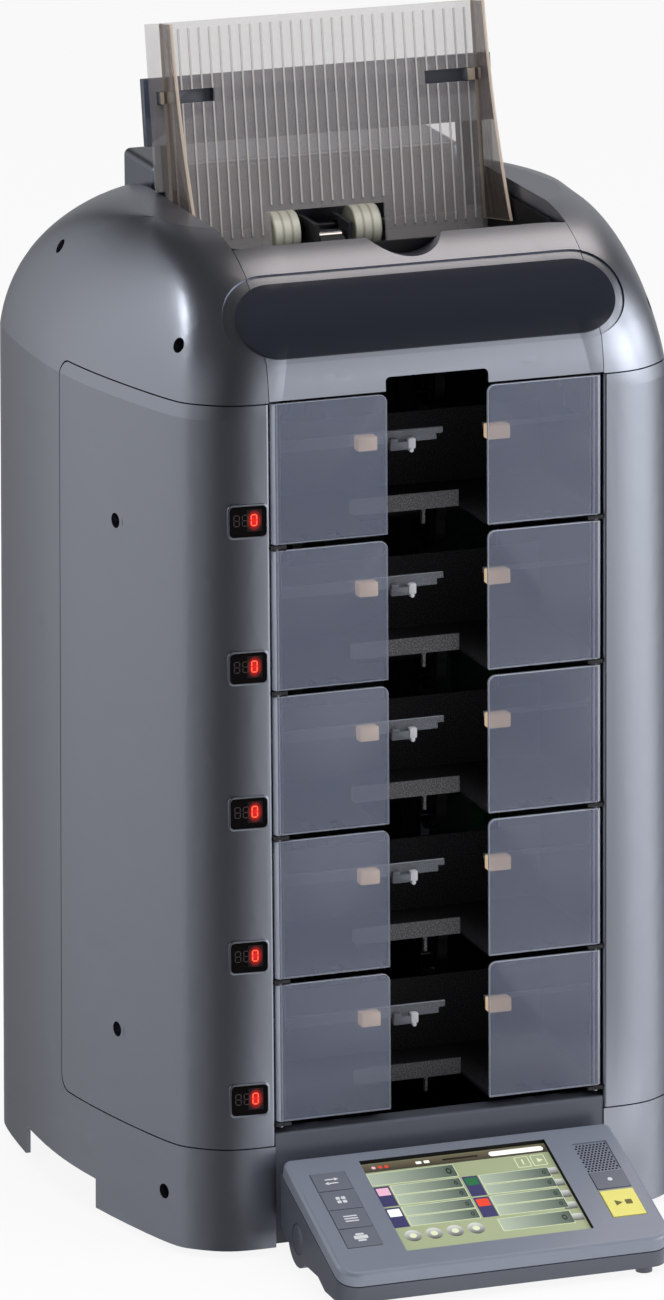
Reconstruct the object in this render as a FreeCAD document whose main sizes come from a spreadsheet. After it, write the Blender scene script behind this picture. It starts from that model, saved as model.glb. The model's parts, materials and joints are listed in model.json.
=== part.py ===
import FreeCAD, Part
import math
import os

import Sketcher
from FreeCAD import Placement, Rotation, Vector

# Five-pocket banknote sorting machine with a top hopper and a tilting operator panel.
# X runs to the right of someone facing the machine, Y runs to its back and Z runs up.
# The origin is on the table, under the middle of the whole machine.
# Every piece is drawn with Y counted from the face of the pocket doors, and its Placement
# then carries it to its place in the machine's own frame.

POCKETS = 5
FULL_TURN = 360.0

# Driving dimensions in millimetres and degrees.
DRIVING = {
    # housing
    "front_plane": -106.0,
    "body_depth": 330.0,
    "half_width": 188.0,
    "shoulder_half_width": 182.0,
    "side_bulge_radius": 524.0,
    "widest_at": 200.0,
    "front_corner_radius": 46.0,
    "rear_corner_radius": 75.0,
    "skirt_bottom": 4.0,
    "shoulder_height": 505.0,
    "dome_rise": 92.5,
    "dome_front_inset": 100.0,
    "dome_side_inset": 60.0,
    "dome_rear_inset": 95.0,
    "wall": 3.0,
    "seam_gap": 0.8,
    "opening_half": 103.0,
    "seam_low": 66.0,
    "seam_high": 514.0,
    "panel_rear_edge": 152.0,
    "panel_corner_radius": 10.0,
    "grip_front": 107.0,
    "grip_rear": 220.0,
    "grip_top": 22.0,
    "cover_depth": 62.0,
    "rear_cover_front": 284.0,
    # chassis
    "base_z": 24.0,
    "base_thickness": 2.5,
    "frame_x": 104.5,
    "frame_thickness": 2.0,
    "tie_radius": 4.0,
    "foot_radius": 13.0,
    # pockets
    "first_pocket_z": 81.0,
    "pocket_pitch": 87.2,
    "door_height": 83.2,
    "door_thickness": 2.5,
    "door_inner_x": 31.0,
    "door_corner_radius": 4.5,
    "hinge_x": 98.5,
    "hinge_y": 3.0,
    "knuckle_radius": 3.0,
    "rod_radius": 1.5,
    "running_gap": 0.05,
    "tray_thickness": 2.0,
    "tray_drop": 2.75,
    "tray_depth": 112.0,
    "tray_back_height": 46.0,
    "finger_notch_half": 34.0,
    "finger_notch_depth": 58.0,
    # shafts and rollers
    "shaft_radius": 4.0,
    "stacker_y": 140.0,
    "stacker_rise": 62.0,
    "stacker_radius": 22.0,
    "belt_y": 230.0,
    "belt_top_z": 505.0,
    "belt_bottom_z": 70.0,
    "pulley_radius": 14.0,
    "belt_thickness": 1.5,
    "pickup_y": 200.0,
    "pickup_z": 566.0,
    "tyre_radius": 13.0,
    "press_y": 187.0,
    "press_z": 560.5,
    "press_radius": 8.0,
    # hopper
    "plate_y": 186.0,
    "plate_z": 566.0,
    "plate_lean": 9.4,
    "plate_half": 106.0,
    "plate_thickness": 2.5,
    "plate_top": 132.0,
    "guide_x": 97.5,
    "block_half": 97.0,
    "block_top": 607.0,
    # operator panel
    "panel_y": -10.0,
    "panel_z": 61.0,
    "panel_tilt": 19.5,
    "panel_half": 102.5,
    "panel_length": 113.0,
    "panel_corner": 12.0,
    "bezel_depth": 9.0,
    "bezel_skin": 3.0,
    "pivot_y": -36.5,
    "pivot_z": 20.5,
    "pin_radius": 4.0,
    "cap_radius": 9.0,
    "barrel_radius": 17.0,
    "screen_half": 58.0,
    "screen_top": 9.5,
    "screen_bottom": 96.5,
    "key_gap": 0.3,
    "key_proud": 0.6,
}


class Size:
    """A measure worked out from cells of the sheet: its value now and its formula."""

    def __init__(self, value, formula):
        self.value = float(value)
        self.formula = formula

    def __float__(self):
        return self.value

    def _joined(self, sign, other, value):
        other_formula = other.formula if isinstance(other, Size) else repr(float(other))
        return Size(value, "(%s %s %s)" % (self.formula, sign, other_formula))

    def __add__(self, other):
        return self._joined("+", other, self.value + float(other))

    def __sub__(self, other):
        return self._joined("-", other, self.value - float(other))

    def __mul__(self, other):
        return self._joined("*", other, self.value * float(other))

    def __neg__(self):
        return Size(-self.value, "(-1 * %s)" % self.formula)

    __radd__ = __add__
    __rmul__ = __mul__

    def __rsub__(self, other):
        return -self + other


doc = FreeCAD.newDocument("NoteSorter")
sheet = doc.addObject("Spreadsheet::Sheet", "Sheet")


class Sizes:
    """The sheet's cells by name."""


size = Sizes()
for row, (alias, number) in enumerate(DRIVING.items(), start=1):
    sheet.set("A%d" % row, alias.replace("_", " "))
    sheet.set("B%d" % row, "%g" % number)
    sheet.setAlias("B%d" % row, alias)
    setattr(size, alias, Size(number, "Sheet." + alias))
doc.recompute()

sub_parts = []


def bind(thing, prop, measure):
    """Set a property, tied to the sheet where the measure comes from it."""
    if isinstance(measure, Size):
        thing.setExpression(prop, measure.formula)
    elif "." in prop:
        thing.setExpression(prop, repr(float(measure)))
    else:
        setattr(thing, prop, float(measure))


def keep(thing, label):
    """Take a finished piece into the machine under its own name."""
    thing.Label = label
    sub_parts.append(thing)
    return thing


def place(thing, x, y, z):
    bind(thing, "Placement.Base.x", x)
    bind(thing, "Placement.Base.y", y)
    bind(thing, "Placement.Base.z", z)


def box(name, x, y, z):
    """A block between pairs of limits, with Y counted from the door faces."""
    block = doc.addObject("Part::Box", name)
    bind(block, "Length", x[1] - x[0])
    bind(block, "Width", y[1] - y[0])
    bind(block, "Height", z[1] - z[0])
    place(block, x[0], size.front_plane + y[0], z[0])
    return block


TURN_TO_X = Rotation(Vector(0, 1, 0), 90)
NO_TURN = Rotation()


def cylinder(name, radius, length, at, turn=NO_TURN):
    """A round bar from a point, along Z, or along X when turned."""
    bar = doc.addObject("Part::Cylinder", name)
    bind(bar, "Radius", radius)
    bind(bar, "Height", length)
    bar.Placement = Placement(Vector(), turn)
    place(bar, at[0], size.front_plane + at[1], at[2])
    return bar


def fuse(name, *shapes):
    joined = doc.addObject("Part::MultiFuse", name)
    joined.Shapes = list(shapes)
    joined.Refine = True
    return joined


def cut(name, base, *tools):
    tool = tools[0] if len(tools) == 1 else fuse(name + "_tools", *tools)
    rest = doc.addObject("Part::Cut", name)
    rest.Base = base
    rest.Tool = tool
    return rest


def group(name, shapes):
    """Separate solids that share one node."""
    together = doc.addObject("Part::Compound", name)
    together.Links = list(shapes)
    return together


def rounded(name, base, radius, chosen):
    """Round the edges of a finished shape that the test chooses."""
    doc.recompute()
    fillet = doc.addObject("Part::Fillet", name)
    fillet.Base = base
    numbers = [n for n, edge in enumerate(base.Shape.Edges, start=1) if chosen(edge)]
    fillet.Edges = [(n, float(radius), float(radius)) for n in numbers]
    return fillet


def middle(edge):
    return edge.valueAt((edge.FirstParameter + edge.LastParameter) / 2)


def runs_along(edge, axis):
    """Whether a straight edge lies along an axis."""
    if len(edge.Vertexes) < 2:
        return False
    run = edge.Vertexes[1].Point - edge.Vertexes[0].Point
    return run.Length > 0 and abs(run.normalize().dot(axis)) > 0.999


X_AXIS = Vector(1, 0, 0)
Y_AXIS = Vector(0, 1, 0)
Z_AXIS = Vector(0, 0, 1)


def local_y(point):
    """Y counted from the door faces."""
    return point.y - float(size.front_plane)


def new_body(name):
    body = doc.addObject("PartDesign::Body", name)
    bind(body, "Placement.Base.y", size.front_plane)
    return body


def origin_plane(body, role):
    return next(plane for plane in body.Origin.OriginFeatures if plane.Role == role)


def hold(sketch, edge, kind, measure):
    """Keep the start of an edge at a signed distance from the sketch's origin."""
    value = float(measure)
    if value == 0:
        axis = -2 if kind == "DistanceX" else -1
        sketch.addConstraint(Sketcher.Constraint("PointOnObject", edge, 1, axis))
        return
    if value > 0:
        constraint = Sketcher.Constraint(kind, -1, 1, edge, 1, value)
    else:
        constraint = Sketcher.Constraint(kind, edge, 1, -1, 1, -value)
    index = sketch.addConstraint(constraint)
    if isinstance(measure, Size):
        signed = measure if value > 0 else -measure
        sketch.setExpression("Constraints[%d]" % index, signed.formula)


def outline(body, name, role, corners, offset=0.0):
    """A closed outline of straight runs on one of the body's own planes."""
    sketch = body.newObject("Sketcher::SketchObject", name)
    sketch.AttachmentSupport = (origin_plane(body, role), [""])
    sketch.MapMode = "FlatFace"
    bind(sketch, "AttachmentOffset.Base.z", offset)
    points = [Vector(float(u), float(v), 0) for u, v in corners]
    count = len(points)
    for i in range(count):
        sketch.addGeometry(Part.LineSegment(points[i], points[(i + 1) % count]))
    for i, (u, v) in enumerate(corners):
        sketch.addConstraint(Sketcher.Constraint("Coincident", (i - 1) % count, 2, i, 1))
        hold(sketch, i, "DistanceX", u)
        hold(sketch, i, "DistanceY", v)
    return sketch


def pad(body, sketch, length, kind="PartDesign::Pad"):
    feature = body.newObject(kind, sketch.Name + "_" + kind.split("::")[1].lower())
    feature.Profile = sketch
    bind(feature, "Length", length)
    return feature


def pocket_z(k):
    """Bottom of the doors of pocket k, counted from the lowest."""
    return size.first_pocket_z + size.pocket_pitch * k


# Housing form: a plan with a bowed side and round corners, drawn in towards the dome


def half_plan(z, half_width, front, rear, front_radius, rear_radius, widest_at):
    """Points of the right half of the plan at one height, from front to back."""
    arc_steps = 3
    flat_run = 14.0
    bulge = float(size.side_bulge_radius)
    side_x = half_width - bulge

    def corner_x(corner_y, radius):
        return side_x + math.sqrt((bulge - radius) ** 2 - (corner_y - widest_at) ** 2)

    front_y = front + front_radius
    rear_y = rear - rear_radius
    front_x = corner_x(front_y, front_radius)
    rear_x = corner_x(rear_y, rear_radius)
    front_turn = math.atan2(front_y - widest_at, front_x - side_x)
    rear_turn = math.atan2(rear_y - widest_at, rear_x - side_x)
    points = [Vector(front_x - flat_run, front, z), Vector(front_x, front, z)]

    def arc(x, y, radius, start, end):
        for step in range(1, arc_steps + 1):
            turn = start + (end - start) * step / arc_steps
            points.append(Vector(x + radius * math.cos(turn), y + radius * math.sin(turn), z))

    arc(front_x, front_y, front_radius, -math.pi / 2, front_turn)
    arc(side_x, widest_at, bulge, front_turn, rear_turn)
    arc(rear_x, rear_y, rear_radius, rear_turn, math.pi / 2)
    points.append(Vector(rear_x - flat_run, rear, z))
    return points


def wall_level(z, inset):
    """Plan of the plain walls at a height, drawn in all round by an inset."""
    foot = float(size.skirt_bottom)
    up = (z - foot) / (float(size.shoulder_height) - foot)
    half_width = float(size.half_width) * (1 - up) + float(size.shoulder_half_width) * up
    return half_plan(
        z,
        half_width - inset,
        inset,
        float(size.body_depth) - inset,
        float(size.front_corner_radius) - inset,
        float(size.rear_corner_radius) - inset,
        float(size.widest_at),
    )


def dome_level(degrees):
    """Plan of the dome where its face has turned this far from upright."""
    turn = math.radians(degrees)
    drawn_in = 1 - math.cos(turn)
    return half_plan(
        float(size.shoulder_height) + float(size.dome_rise) * math.sin(turn),
        float(size.shoulder_half_width) - float(size.dome_side_inset) * drawn_in**0.7,
        float(size.dome_front_inset) * drawn_in**1.1,
        float(size.body_depth) - float(size.dome_rear_inset) * drawn_in,
        float(size.front_corner_radius),
        float(size.rear_corner_radius) + 25.0 * drawn_in,
        float(size.widest_at) - 30.0 * drawn_in,
    )


DOME_TURNS = (0, 22, 42, 60, 75, 84)


def spaced(points):
    """Shares of the way along a row of points."""
    ways = [0.0]
    for start, end in zip(points, points[1:]):
        ways.append(ways[-1] + start.distanceToPoint(end))
    return [way / ways[-1] for way in ways]


def plan_wire(points):
    """Closed plan from its right half, mirrored."""
    foot_shares = spaced(wall_level(float(size.skirt_bottom), 0.0))
    crown_shares = spaced(dome_level(DOME_TURNS[-1]))
    shares = [(low + high) / 2 for low, high in zip(foot_shares, crown_shares)]
    right = Part.BSplineCurve()
    right.interpolate(Points=points, Parameters=shares)
    mirrored = [Vector(-p.x, p.y, p.z) for p in reversed(points)]
    left = Part.BSplineCurve()
    left.interpolate(Points=mirrored, Parameters=[1 - share for share in reversed(shares)])
    back = Part.makeLine(points[-1], mirrored[0])
    front = Part.makeLine(mirrored[-1], points[0])
    return Part.Wire([right.toShape(), back, left.toShape(), front])


def closed_solid(side_faces, *end_wires):
    """A solid from its side faces and the plans that close its ends."""
    shell = Part.makeShell(side_faces + [Part.Face(wire) for wire in end_wires])
    shell.sewShape()
    solid = Part.makeSolid(shell)
    if solid.Volume < 0:
        solid.reverse()
    return solid


def outer_form():
    """The whole outer form as a solid, from the skirt to the crown of the dome."""
    foot_wire = plan_wire(wall_level(float(size.skirt_bottom), 0.0))
    dome_wires = [plan_wire(dome_level(turn)) for turn in DOME_TURNS]
    walls = Part.makeLoft([foot_wire, dome_wires[0]], False, True)
    dome = Part.makeLoft(dome_wires, False, False, False, 3)
    return closed_solid(walls.Faces + dome.Faces, foot_wire, dome_wires[-1])


def housing_shell(outer):
    """The outer form made hollow up to the seam under the dome and open below."""
    wall = float(size.wall)
    inner_wires = [
        plan_wire(wall_level(float(size.skirt_bottom) - 2.0, wall)),
        plan_wire(wall_level(float(size.seam_high) + 0.5, wall + 1.0)),
    ]
    inner_walls = Part.makeLoft(inner_wires, False, True)
    return outer.cut(closed_solid(inner_walls.Faces, *inner_wires))


def block_shape(x, y, z):
    """A plain block between pairs of limits."""
    low = Vector(float(x[0]), float(y[0]), float(z[0]))
    return Part.makeBox(float(x[1]) - low.x, float(y[1]) - low.y, float(z[1]) - low.z, low)


def prism_x(corners, x):
    """A prism along X over an outline of (y, z) corners."""
    points = [Vector(float(x[0]), float(y), float(z)) for y, z in corners]
    face = Part.Face(Part.makePolygon(points + points[:1]))
    return face.extrude(Vector(float(x[1]) - float(x[0]), 0, 0))


def side_range(side, near, far):
    """X limits on one side of the machine, from near the middle to far from it."""
    limits = sorted((side * float(near), side * float(far)))
    return limits[0], limits[1]


def wall_x(y, z):
    """Half width of the outer face of the bowed side wall at a place."""
    foot = float(size.skirt_bottom)
    up = (z - foot) / (float(size.shoulder_height) - foot)
    half_width = float(size.half_width) * (1 - up) + float(size.shoulder_half_width) * up
    bulge = float(size.side_bulge_radius)
    bow = bulge - math.sqrt(bulge**2 - (y - float(size.widest_at)) ** 2)
    return half_width - bow


def feature(label, shape):
    """A moulded piece whose form is worked out from the sheet by the functions above."""
    moulding = doc.addObject("Part::Feature", label)
    moulding.Shape = shape
    moulding.Placement = Placement(Vector(0, float(size.front_plane), 0), Rotation())
    return keep(moulding, label)


OUTER_REACH = 400.0

# Counter windows on the left pillar
DISPLAY_WIDTH = 22.0
DISPLAY_HEIGHT = 19.0
DISPLAY_CORNER = 2.6
DISPLAY_DEPTH = 9.0
DISPLAY_X = -118.6
DISPLAY_STEP = 0.6
DISPLAY_Y = 0.6
DISPLAY_RISE = 15.5
DISPLAY_TURN = -5.0


def display_block(k, margin, reach):
    """Space of the counter window beside pocket k, with a margin round it and in front."""
    width = DISPLAY_WIDTH + 2 * margin
    height = DISPLAY_HEIGHT + 2 * margin
    corner = Vector(-width / 2, -reach, -height / 2)
    block = Part.makeBox(width, DISPLAY_DEPTH + reach, height, corner)
    block = block.makeFillet(DISPLAY_CORNER + margin, [e for e in block.Edges if runs_along(e, Y_AXIS)])
    # the pillar leans inwards, and each window follows it
    spot = Vector(DISPLAY_X + DISPLAY_STEP * k, DISPLAY_Y, float(pocket_z(k)) + DISPLAY_RISE)
    block.Placement = Placement(spot, Rotation(Z_AXIS, DISPLAY_TURN))
    return block


def display_modules():
    """Five counter windows, each with a tab on the edge of the left frame plate."""
    tab_x = side_range(-1, size.frame_x, size.frame_x + size.frame_thickness + 4.0)
    modules = []
    for k in range(POCKETS):
        z = float(pocket_z(k)) + DISPLAY_RISE
        tab = block_shape(tab_x, (7, 12), (z - 6, z + 6))
        modules.append(display_block(k, 0.0, 0.0).fuse(tab))
    feature("display_modules", Part.makeCompound(modules))


# Screws of the housing: places on its right half and the way the face looks there
SCREW_RADIUS = 4.5
SCREW_DEPTH = 8.0
BOSS_RADIUS = 7.5
DOME_SCREWS = (((159, 213, 566), (0.86, 0.03, 0.51)), ((145, 36, 544), (0.87, -0.34, 0.36)))
SKIRT_SCREW = ((161, 34, 35), (0.95, -0.31, 0.01))
PANEL_SCREWS = ((83.0, 431.0), (82.0, 122.0))
CASING_POSTS = ((230.0, 120.0), (230.0, 440.0))

# Soft edge of the pillars beside the doors
PILLAR_EDGE_RADIUS = 1.5


def mirrored(side, numbers):
    """A point or a way on the right half, put on the wanted side."""
    return Vector(side * numbers[0], numbers[1], numbers[2])


def screw_hole(side, spot, away):
    """Blind hole square to the face."""
    way = mirrored(side, away)
    way.normalize()
    outside = 3.0
    return Part.makeCylinder(SCREW_RADIUS, SCREW_DEPTH + outside, mirrored(side, spot) + way * outside, -way)


def screw_boss(side, spot, away):
    """Post behind the wall for a screw, from the middle of the wall inwards."""
    way = mirrored(side, away)
    way.normalize()
    return Part.makeCylinder(BOSS_RADIUS, 14.0, mirrored(side, spot) - way * 1.6, -way)


def side_post(side, y, z):
    """Round post from the frame plate out into the housing's wall."""
    start = float(size.frame_x) + float(size.frame_thickness)
    end = wall_x(y, z) - 2.0
    return Part.makeCylinder(BOSS_RADIUS, end - start, Vector(side * start, y, z), X_AXIS * side)


def side_facing(y):
    """The way the bowed side looks at a place along it."""
    bulge = float(size.side_bulge_radius)
    back = y - float(size.widest_at)
    return math.sqrt(bulge**2 - back**2) / bulge, back / bulge, 0.0


def pillar_rounding(side):
    """What the soft edge beside the doors takes off the pillar's corner."""
    soft = PILLAR_EDGE_RADIUS
    near = float(size.opening_half)
    corner = block_shape(side_range(side, near - 1, near + soft), (-1, soft), (0, OUTER_REACH * 2))
    return corner.cut(Part.makeCylinder(soft, OUTER_REACH * 2, Vector(side * (near + soft), soft, 0)))


def side_pieces(shell, badge_seat, side, name):
    """C-shaped casing of one side, and the panel set into it."""
    opening = float(size.opening_half)
    half = shell.common(
        block_shape(side_range(side, opening, OUTER_REACH), (-20, OUTER_REACH), (0, OUTER_REACH * 2))
    )
    gap = float(size.seam_gap)

    def inset_block(margin):
        block = block_shape(
            side_range(side, opening - 1, OUTER_REACH),
            (-20, size.panel_rear_edge - margin),
            (size.seam_low + margin, size.seam_high - margin),
        )
        rear = [e for e in block.Edges if runs_along(e, X_AXIS) and middle(e).y > 0]
        return block.makeFillet(float(size.panel_corner_radius), rear)

    # hollows of the dome beside the frame plates, and the hand grip in the skirt
    low_hollow = block_shape(side_range(side, opening - 5, 142), (55, 265), (500, 540))
    high_hollow = block_shape(side_range(side, opening - 5, 124), (85, 230), (540, 584))
    grip = block_shape(
        side_range(side, 150, OUTER_REACH), (size.grip_front, size.grip_rear), (0, size.grip_top)
    )
    casing = half.cut(inset_block(0.0)).cut(low_hollow).cut(high_hollow).cut(grip).cut(badge_seat)
    for y, z in CASING_POSTS:
        casing = casing.fuse(side_post(side, y, z))
    casing = casing.fuse(screw_boss(side, *SKIRT_SCREW))
    for spot, away in DOME_SCREWS + (SKIRT_SCREW,):
        casing = casing.cut(screw_hole(side, spot, away))
    panel = half.common(inset_block(gap))
    panel = panel.cut(pillar_rounding(side))
    for y, z in PANEL_SCREWS:
        spot = (wall_x(y, z), y, z)
        panel = panel.fuse(side_post(side, y, z)).cut(screw_hole(side, spot, side_facing(y)))
    if side < 0:
        for k in range(POCKETS):
            panel = panel.cut(display_block(k, 0.5, 8.0))
    feature(name + "_casing", casing)
    feature(name + "_side_panel", panel)


def front_top_cover(outer, shell, badge_seat):
    """Sloping front cover between the casings, with a notch over the middle gap."""
    half = float(size.opening_half) - float(size.seam_gap) / 2
    lower = float(size.seam_high) + float(size.seam_gap)
    cover = shell.common(block_shape((-half, half), (-5, size.cover_depth), (lower, 620)))
    inside = [(4, lower - 1), (4.5, 525), (10, 541), (38, 573), (57, 587), (70, 590), (70, lower - 1)]
    cover = cover.cut(prism_x(inside, (3.5 - half, half - 3.5)))
    notch = block_shape((-31.5, 31.5), (-5, 20), (500, 523))
    top_edges = [e for e in notch.Edges if runs_along(e, Y_AXIS) and middle(e).z > 510]
    cover = cover.cut(notch.makeFillet(3.0, top_edges)).cut(badge_seat)
    for side in (-1, 1):
        cover = cover.fuse(block_shape(side_range(side, 96, half), (30, 56), (495, 560)))
        cover = cover.fuse(block_shape(side_range(side, 99, size.frame_x), (30, 56), (482, 500)))
    # thumb scoop in the rear lip
    scoop_x = 2.0
    pad_under = block_shape((scoop_x - 27, scoop_x + 27), (40, size.cover_depth), (566, 620))
    scoop_start = Vector(scoop_x, 30, 614.4)
    scoop = Part.makeCylinder(30.0, 60.0, scoop_start, Vector(0, 1.0, -0.11))
    cover = cover.fuse(outer.common(pad_under)).cut(scoop)
    feature("front_top_cover", cover.removeSplitter())


def rear_cover(shell):
    """Cover between the casings at the back, with vents and the power inlet's cut-out."""
    half = float(size.opening_half) - float(size.seam_gap) / 2
    cover = shell.common(block_shape((-half, half), (size.rear_cover_front, OUTER_REACH), (8, 620)))
    inside = [(270, 495), (322, 495), (317, 535), (301, 562), (284, 573), (270, 573)]
    cover = cover.cut(prism_x(inside, (3.5 - half, half - 3.5)))
    cover = cover.cut(block_shape((-75, -23), (320, OUTER_REACH), (43, 67)))
    vent_count = 9
    for row in range(vent_count):
        z = 130.0 + 9.0 * row
        cover = cover.cut(block_shape((-92, -12), (320, OUTER_REACH), (z, z + 3.5)))
    depth = float(size.body_depth)
    for side in (-1, 1):
        for z in (110.0, 440.0):
            cover = cover.fuse(block_shape(side_range(side, 99, 102.2), (318, depth - 1.5), (z, z + 14)))
            cover = cover.fuse(block_shape(side_range(side, 99, 106.5), (296, 320), (z, z + 14)))
    feature("rear_cover", cover.removeSplitter())


# Badge: a long round-ended plate in a shallow seat, both following the dome
BADGE_TURNS = (21.0, 50.0)
BADGE_HALF = 116.0
SEAT_TURNS = (19.0, 54.5)
SEAT_HALF = 123.0
SEAT_DEPTH = 1.1
BADGE_PROUD = 0.7


def round_ended(turns, half_length):
    """Round-ended block square to the dome's face between two turns of it."""
    low, high = (Vector(0, p.y, p.z) for p in (dome_level(turn)[0] for turn in turns))
    chord = high - low
    end_radius = chord.Length / 2
    corner = Vector(-half_length, -end_radius, -20)
    block = Part.makeBox(2 * half_length, 2 * end_radius, 40, corner)
    upright = [e for e in block.Edges if runs_along(e, Z_AXIS)]
    block = block.makeFillet(end_radius - 0.05, upright)
    tilt = Rotation(X_AXIS, math.degrees(math.atan2(chord.z, chord.y)))
    block.Placement = Placement((low + high) * 0.5, tilt)
    return block, tilt.multVec(Z_AXIS)


def badge_seat_space(outer):
    """Space of the shallow seat round the badge."""
    block, away = round_ended(SEAT_TURNS, SEAT_HALF)
    floor = outer.copy()
    floor.translate(away * -SEAT_DEPTH)
    return block.cut(floor)


def badge_panel(outer):
    block, away = round_ended(BADGE_TURNS, BADGE_HALF)
    face = outer.copy()
    face.translate(away * BADGE_PROUD)
    back = outer.copy()
    back.translate(away * (float(size.running_gap) - SEAT_DEPTH))
    feature("badge_panel", block.common(face).cut(back))


def housing():
    outer = outer_form()
    shell = housing_shell(outer)
    badge_seat = badge_seat_space(outer)
    side_pieces(shell, badge_seat, -1, "left")
    side_pieces(shell, badge_seat, 1, "right")
    front_top_cover(outer, shell, badge_seat)
    rear_cover(shell)
    badge_panel(outer)
    display_modules()


# Chassis: base plate with the panel's hinge arms, two side frames, tie bars and feet


def base_plate():
    body = new_body("base_plate")
    half = [(112, 6), (146, 40), (165, 110), (165, 270), (130, 312)]
    corners = half + [(-x, y) for x, y in reversed(half)]
    plate = outline(body, "base_plan", "XY_Plane", corners, size.base_z)
    pad(body, plate, size.base_thickness)
    for side in (-1, 1):
        near = 74.0 if side > 0 else -86.0
        arm = outline(
            body,
            "panel_arm_%s" % ("right" if side > 0 else "left"),
            "YZ_Plane",
            [
                (12, size.base_z + 0.5),
                (12, size.pivot_z - 9),
                (size.pivot_y - 4, size.pivot_z - 9),
                (size.pivot_y - 9, size.pivot_z - 4),
                (size.pivot_y - 9, size.pivot_z + 4),
                (size.pivot_y - 4, size.pivot_z + 9),
                (size.pivot_y + 4, size.pivot_z + 9),
                (size.pivot_y + 12, size.base_z + 0.5),
            ],
            near,
        )
        pad(body, arm, 12.0)
    bore = body.newObject("Sketcher::SketchObject", "panel_bore")
    bore.AttachmentSupport = (origin_plane(body, "YZ_Plane"), [""])
    bore.MapMode = "FlatFace"
    bind(bore, "AttachmentOffset.Base.z", -100.0)
    centre = Vector(float(size.pivot_y), float(size.pivot_z), 0)
    radius = size.pin_radius + size.running_gap
    bore.addGeometry(Part.Circle(centre, Z_AXIS, float(radius)))
    index = bore.addConstraint(Sketcher.Constraint("Radius", 0, float(radius)))
    bore.setExpression("Constraints[%d]" % index, radius.formula)
    bore.addConstraint(Sketcher.Constraint("DistanceX", 0, 3, -1, 1, -float(size.pivot_y)))
    bore.addConstraint(Sketcher.Constraint("DistanceY", -1, 1, 0, 3, float(size.pivot_z)))
    doc.recompute()
    before = body.Shape.Volume
    hole = pad(body, bore, 200.0, "PartDesign::Pocket")
    hole.Reversed = True
    doc.recompute()
    if body.Shape.Volume >= before:
        raise RuntimeError("the panel arms have no bore")
    keep(body, "base_plate")


def frame_plate(side, name):
    body = new_body(name + "_sheet")
    corners = [
        (12, 26.5), (296, 26.5), (296, 497), (262, 497), (262, 538), (226, 538),
        (226, 582), (88, 582), (88, 538), (58, 538), (58, 497), (12, 497),
    ]
    inner = size.frame_x if side > 0 else -size.frame_x - size.frame_thickness
    plan = outline(body, name + "_profile", "YZ_Plane", corners, inner)
    pad(body, plan, size.frame_thickness)
    bearing = size.shaft_radius + size.running_gap
    holes = [(size.stacker_y, pocket_z(k) + size.stacker_rise) for k in range(POCKETS)]
    holes += [(size.belt_y, size.belt_top_z), (size.belt_y, size.belt_bottom_z)]
    holes += [(size.pickup_y, size.pickup_z)]
    length = size.frame_thickness + 2.0
    start = inner - 1.0
    bores = [
        cylinder("%s_bearing_%d" % (name, n), bearing, length, (start, y, z), TURN_TO_X)
        for n, (y, z) in enumerate(holes)
    ]
    limits = (inner - 1.0, inner + size.frame_thickness + 1.0)
    windows = [
        box("%s_window_%d" % (name, k), limits, (180, 212), (pocket_z(k) + 12, pocket_z(k) + 60))
        for k in range(1, POCKETS - 1)
    ]
    keep(cut(name + "_drilled", body, *(bores + windows)), name)


TIE_PLACES = ((280.0, 480.0), (280.0, 104.0), (60.0, 45.0), (190.0, 480.0))
FOOT_PLACES = ((-114.0, 25.0), (114.0, 25.0), (-118.0, 270.0), (118.0, 270.0))


def tie_bars():
    bars = [
        cylinder("tie_bar_%d" % n, size.tie_radius, size.frame_x * 2.0, (-size.frame_x, y, z), TURN_TO_X)
        for n, (y, z) in enumerate(TIE_PLACES)
    ]
    keep(group("tie_bar_set", bars), "tie_bars")


def base_feet():
    feet = []
    for n, (x, y) in enumerate(FOOT_PLACES):
        stem = cylinder("foot_%d" % n, size.foot_radius, size.base_z, (x, y, 0.0))
        feet.append(rounded("foot_round_%d" % n, stem, 2.0, lambda edge: middle(edge).z < 1.0))
    keep(group("foot_set", feet), "base_feet")


def front_sill():
    half = size.opening_half - 0.4
    top = 74.0
    wall_block = box("sill_wall", (-half, half), (1.0, 5.0), (6.0, top))
    ledge = box("sill_ledge", (-half, half), (1.0, 14.0), (top - 4.0, top))
    foot = box("sill_foot", (-half, half), (1.0, 14.0), (26.5, 29.5))
    sill = fuse("sill_form", wall_block, ledge, foot)
    rim = rounded(
        "sill_round", sill, 1.5,
        lambda e: runs_along(e, X_AXIS) and middle(e).z > top - 0.1 and local_y(middle(e)) < 2.0,
    )
    arm_slots = [
        box("sill_arm_slot_%d" % n, x, (0.0, 6.0), (5.0, 25.5))
        for n, x in enumerate(((-87.0, -73.0), (73.0, 87.0)))
    ]
    keep(cut("sill_slotted", rim, *arm_slots), "front_sill")


# Pockets: trays, doors on their rods, sensors and clear arms


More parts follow.
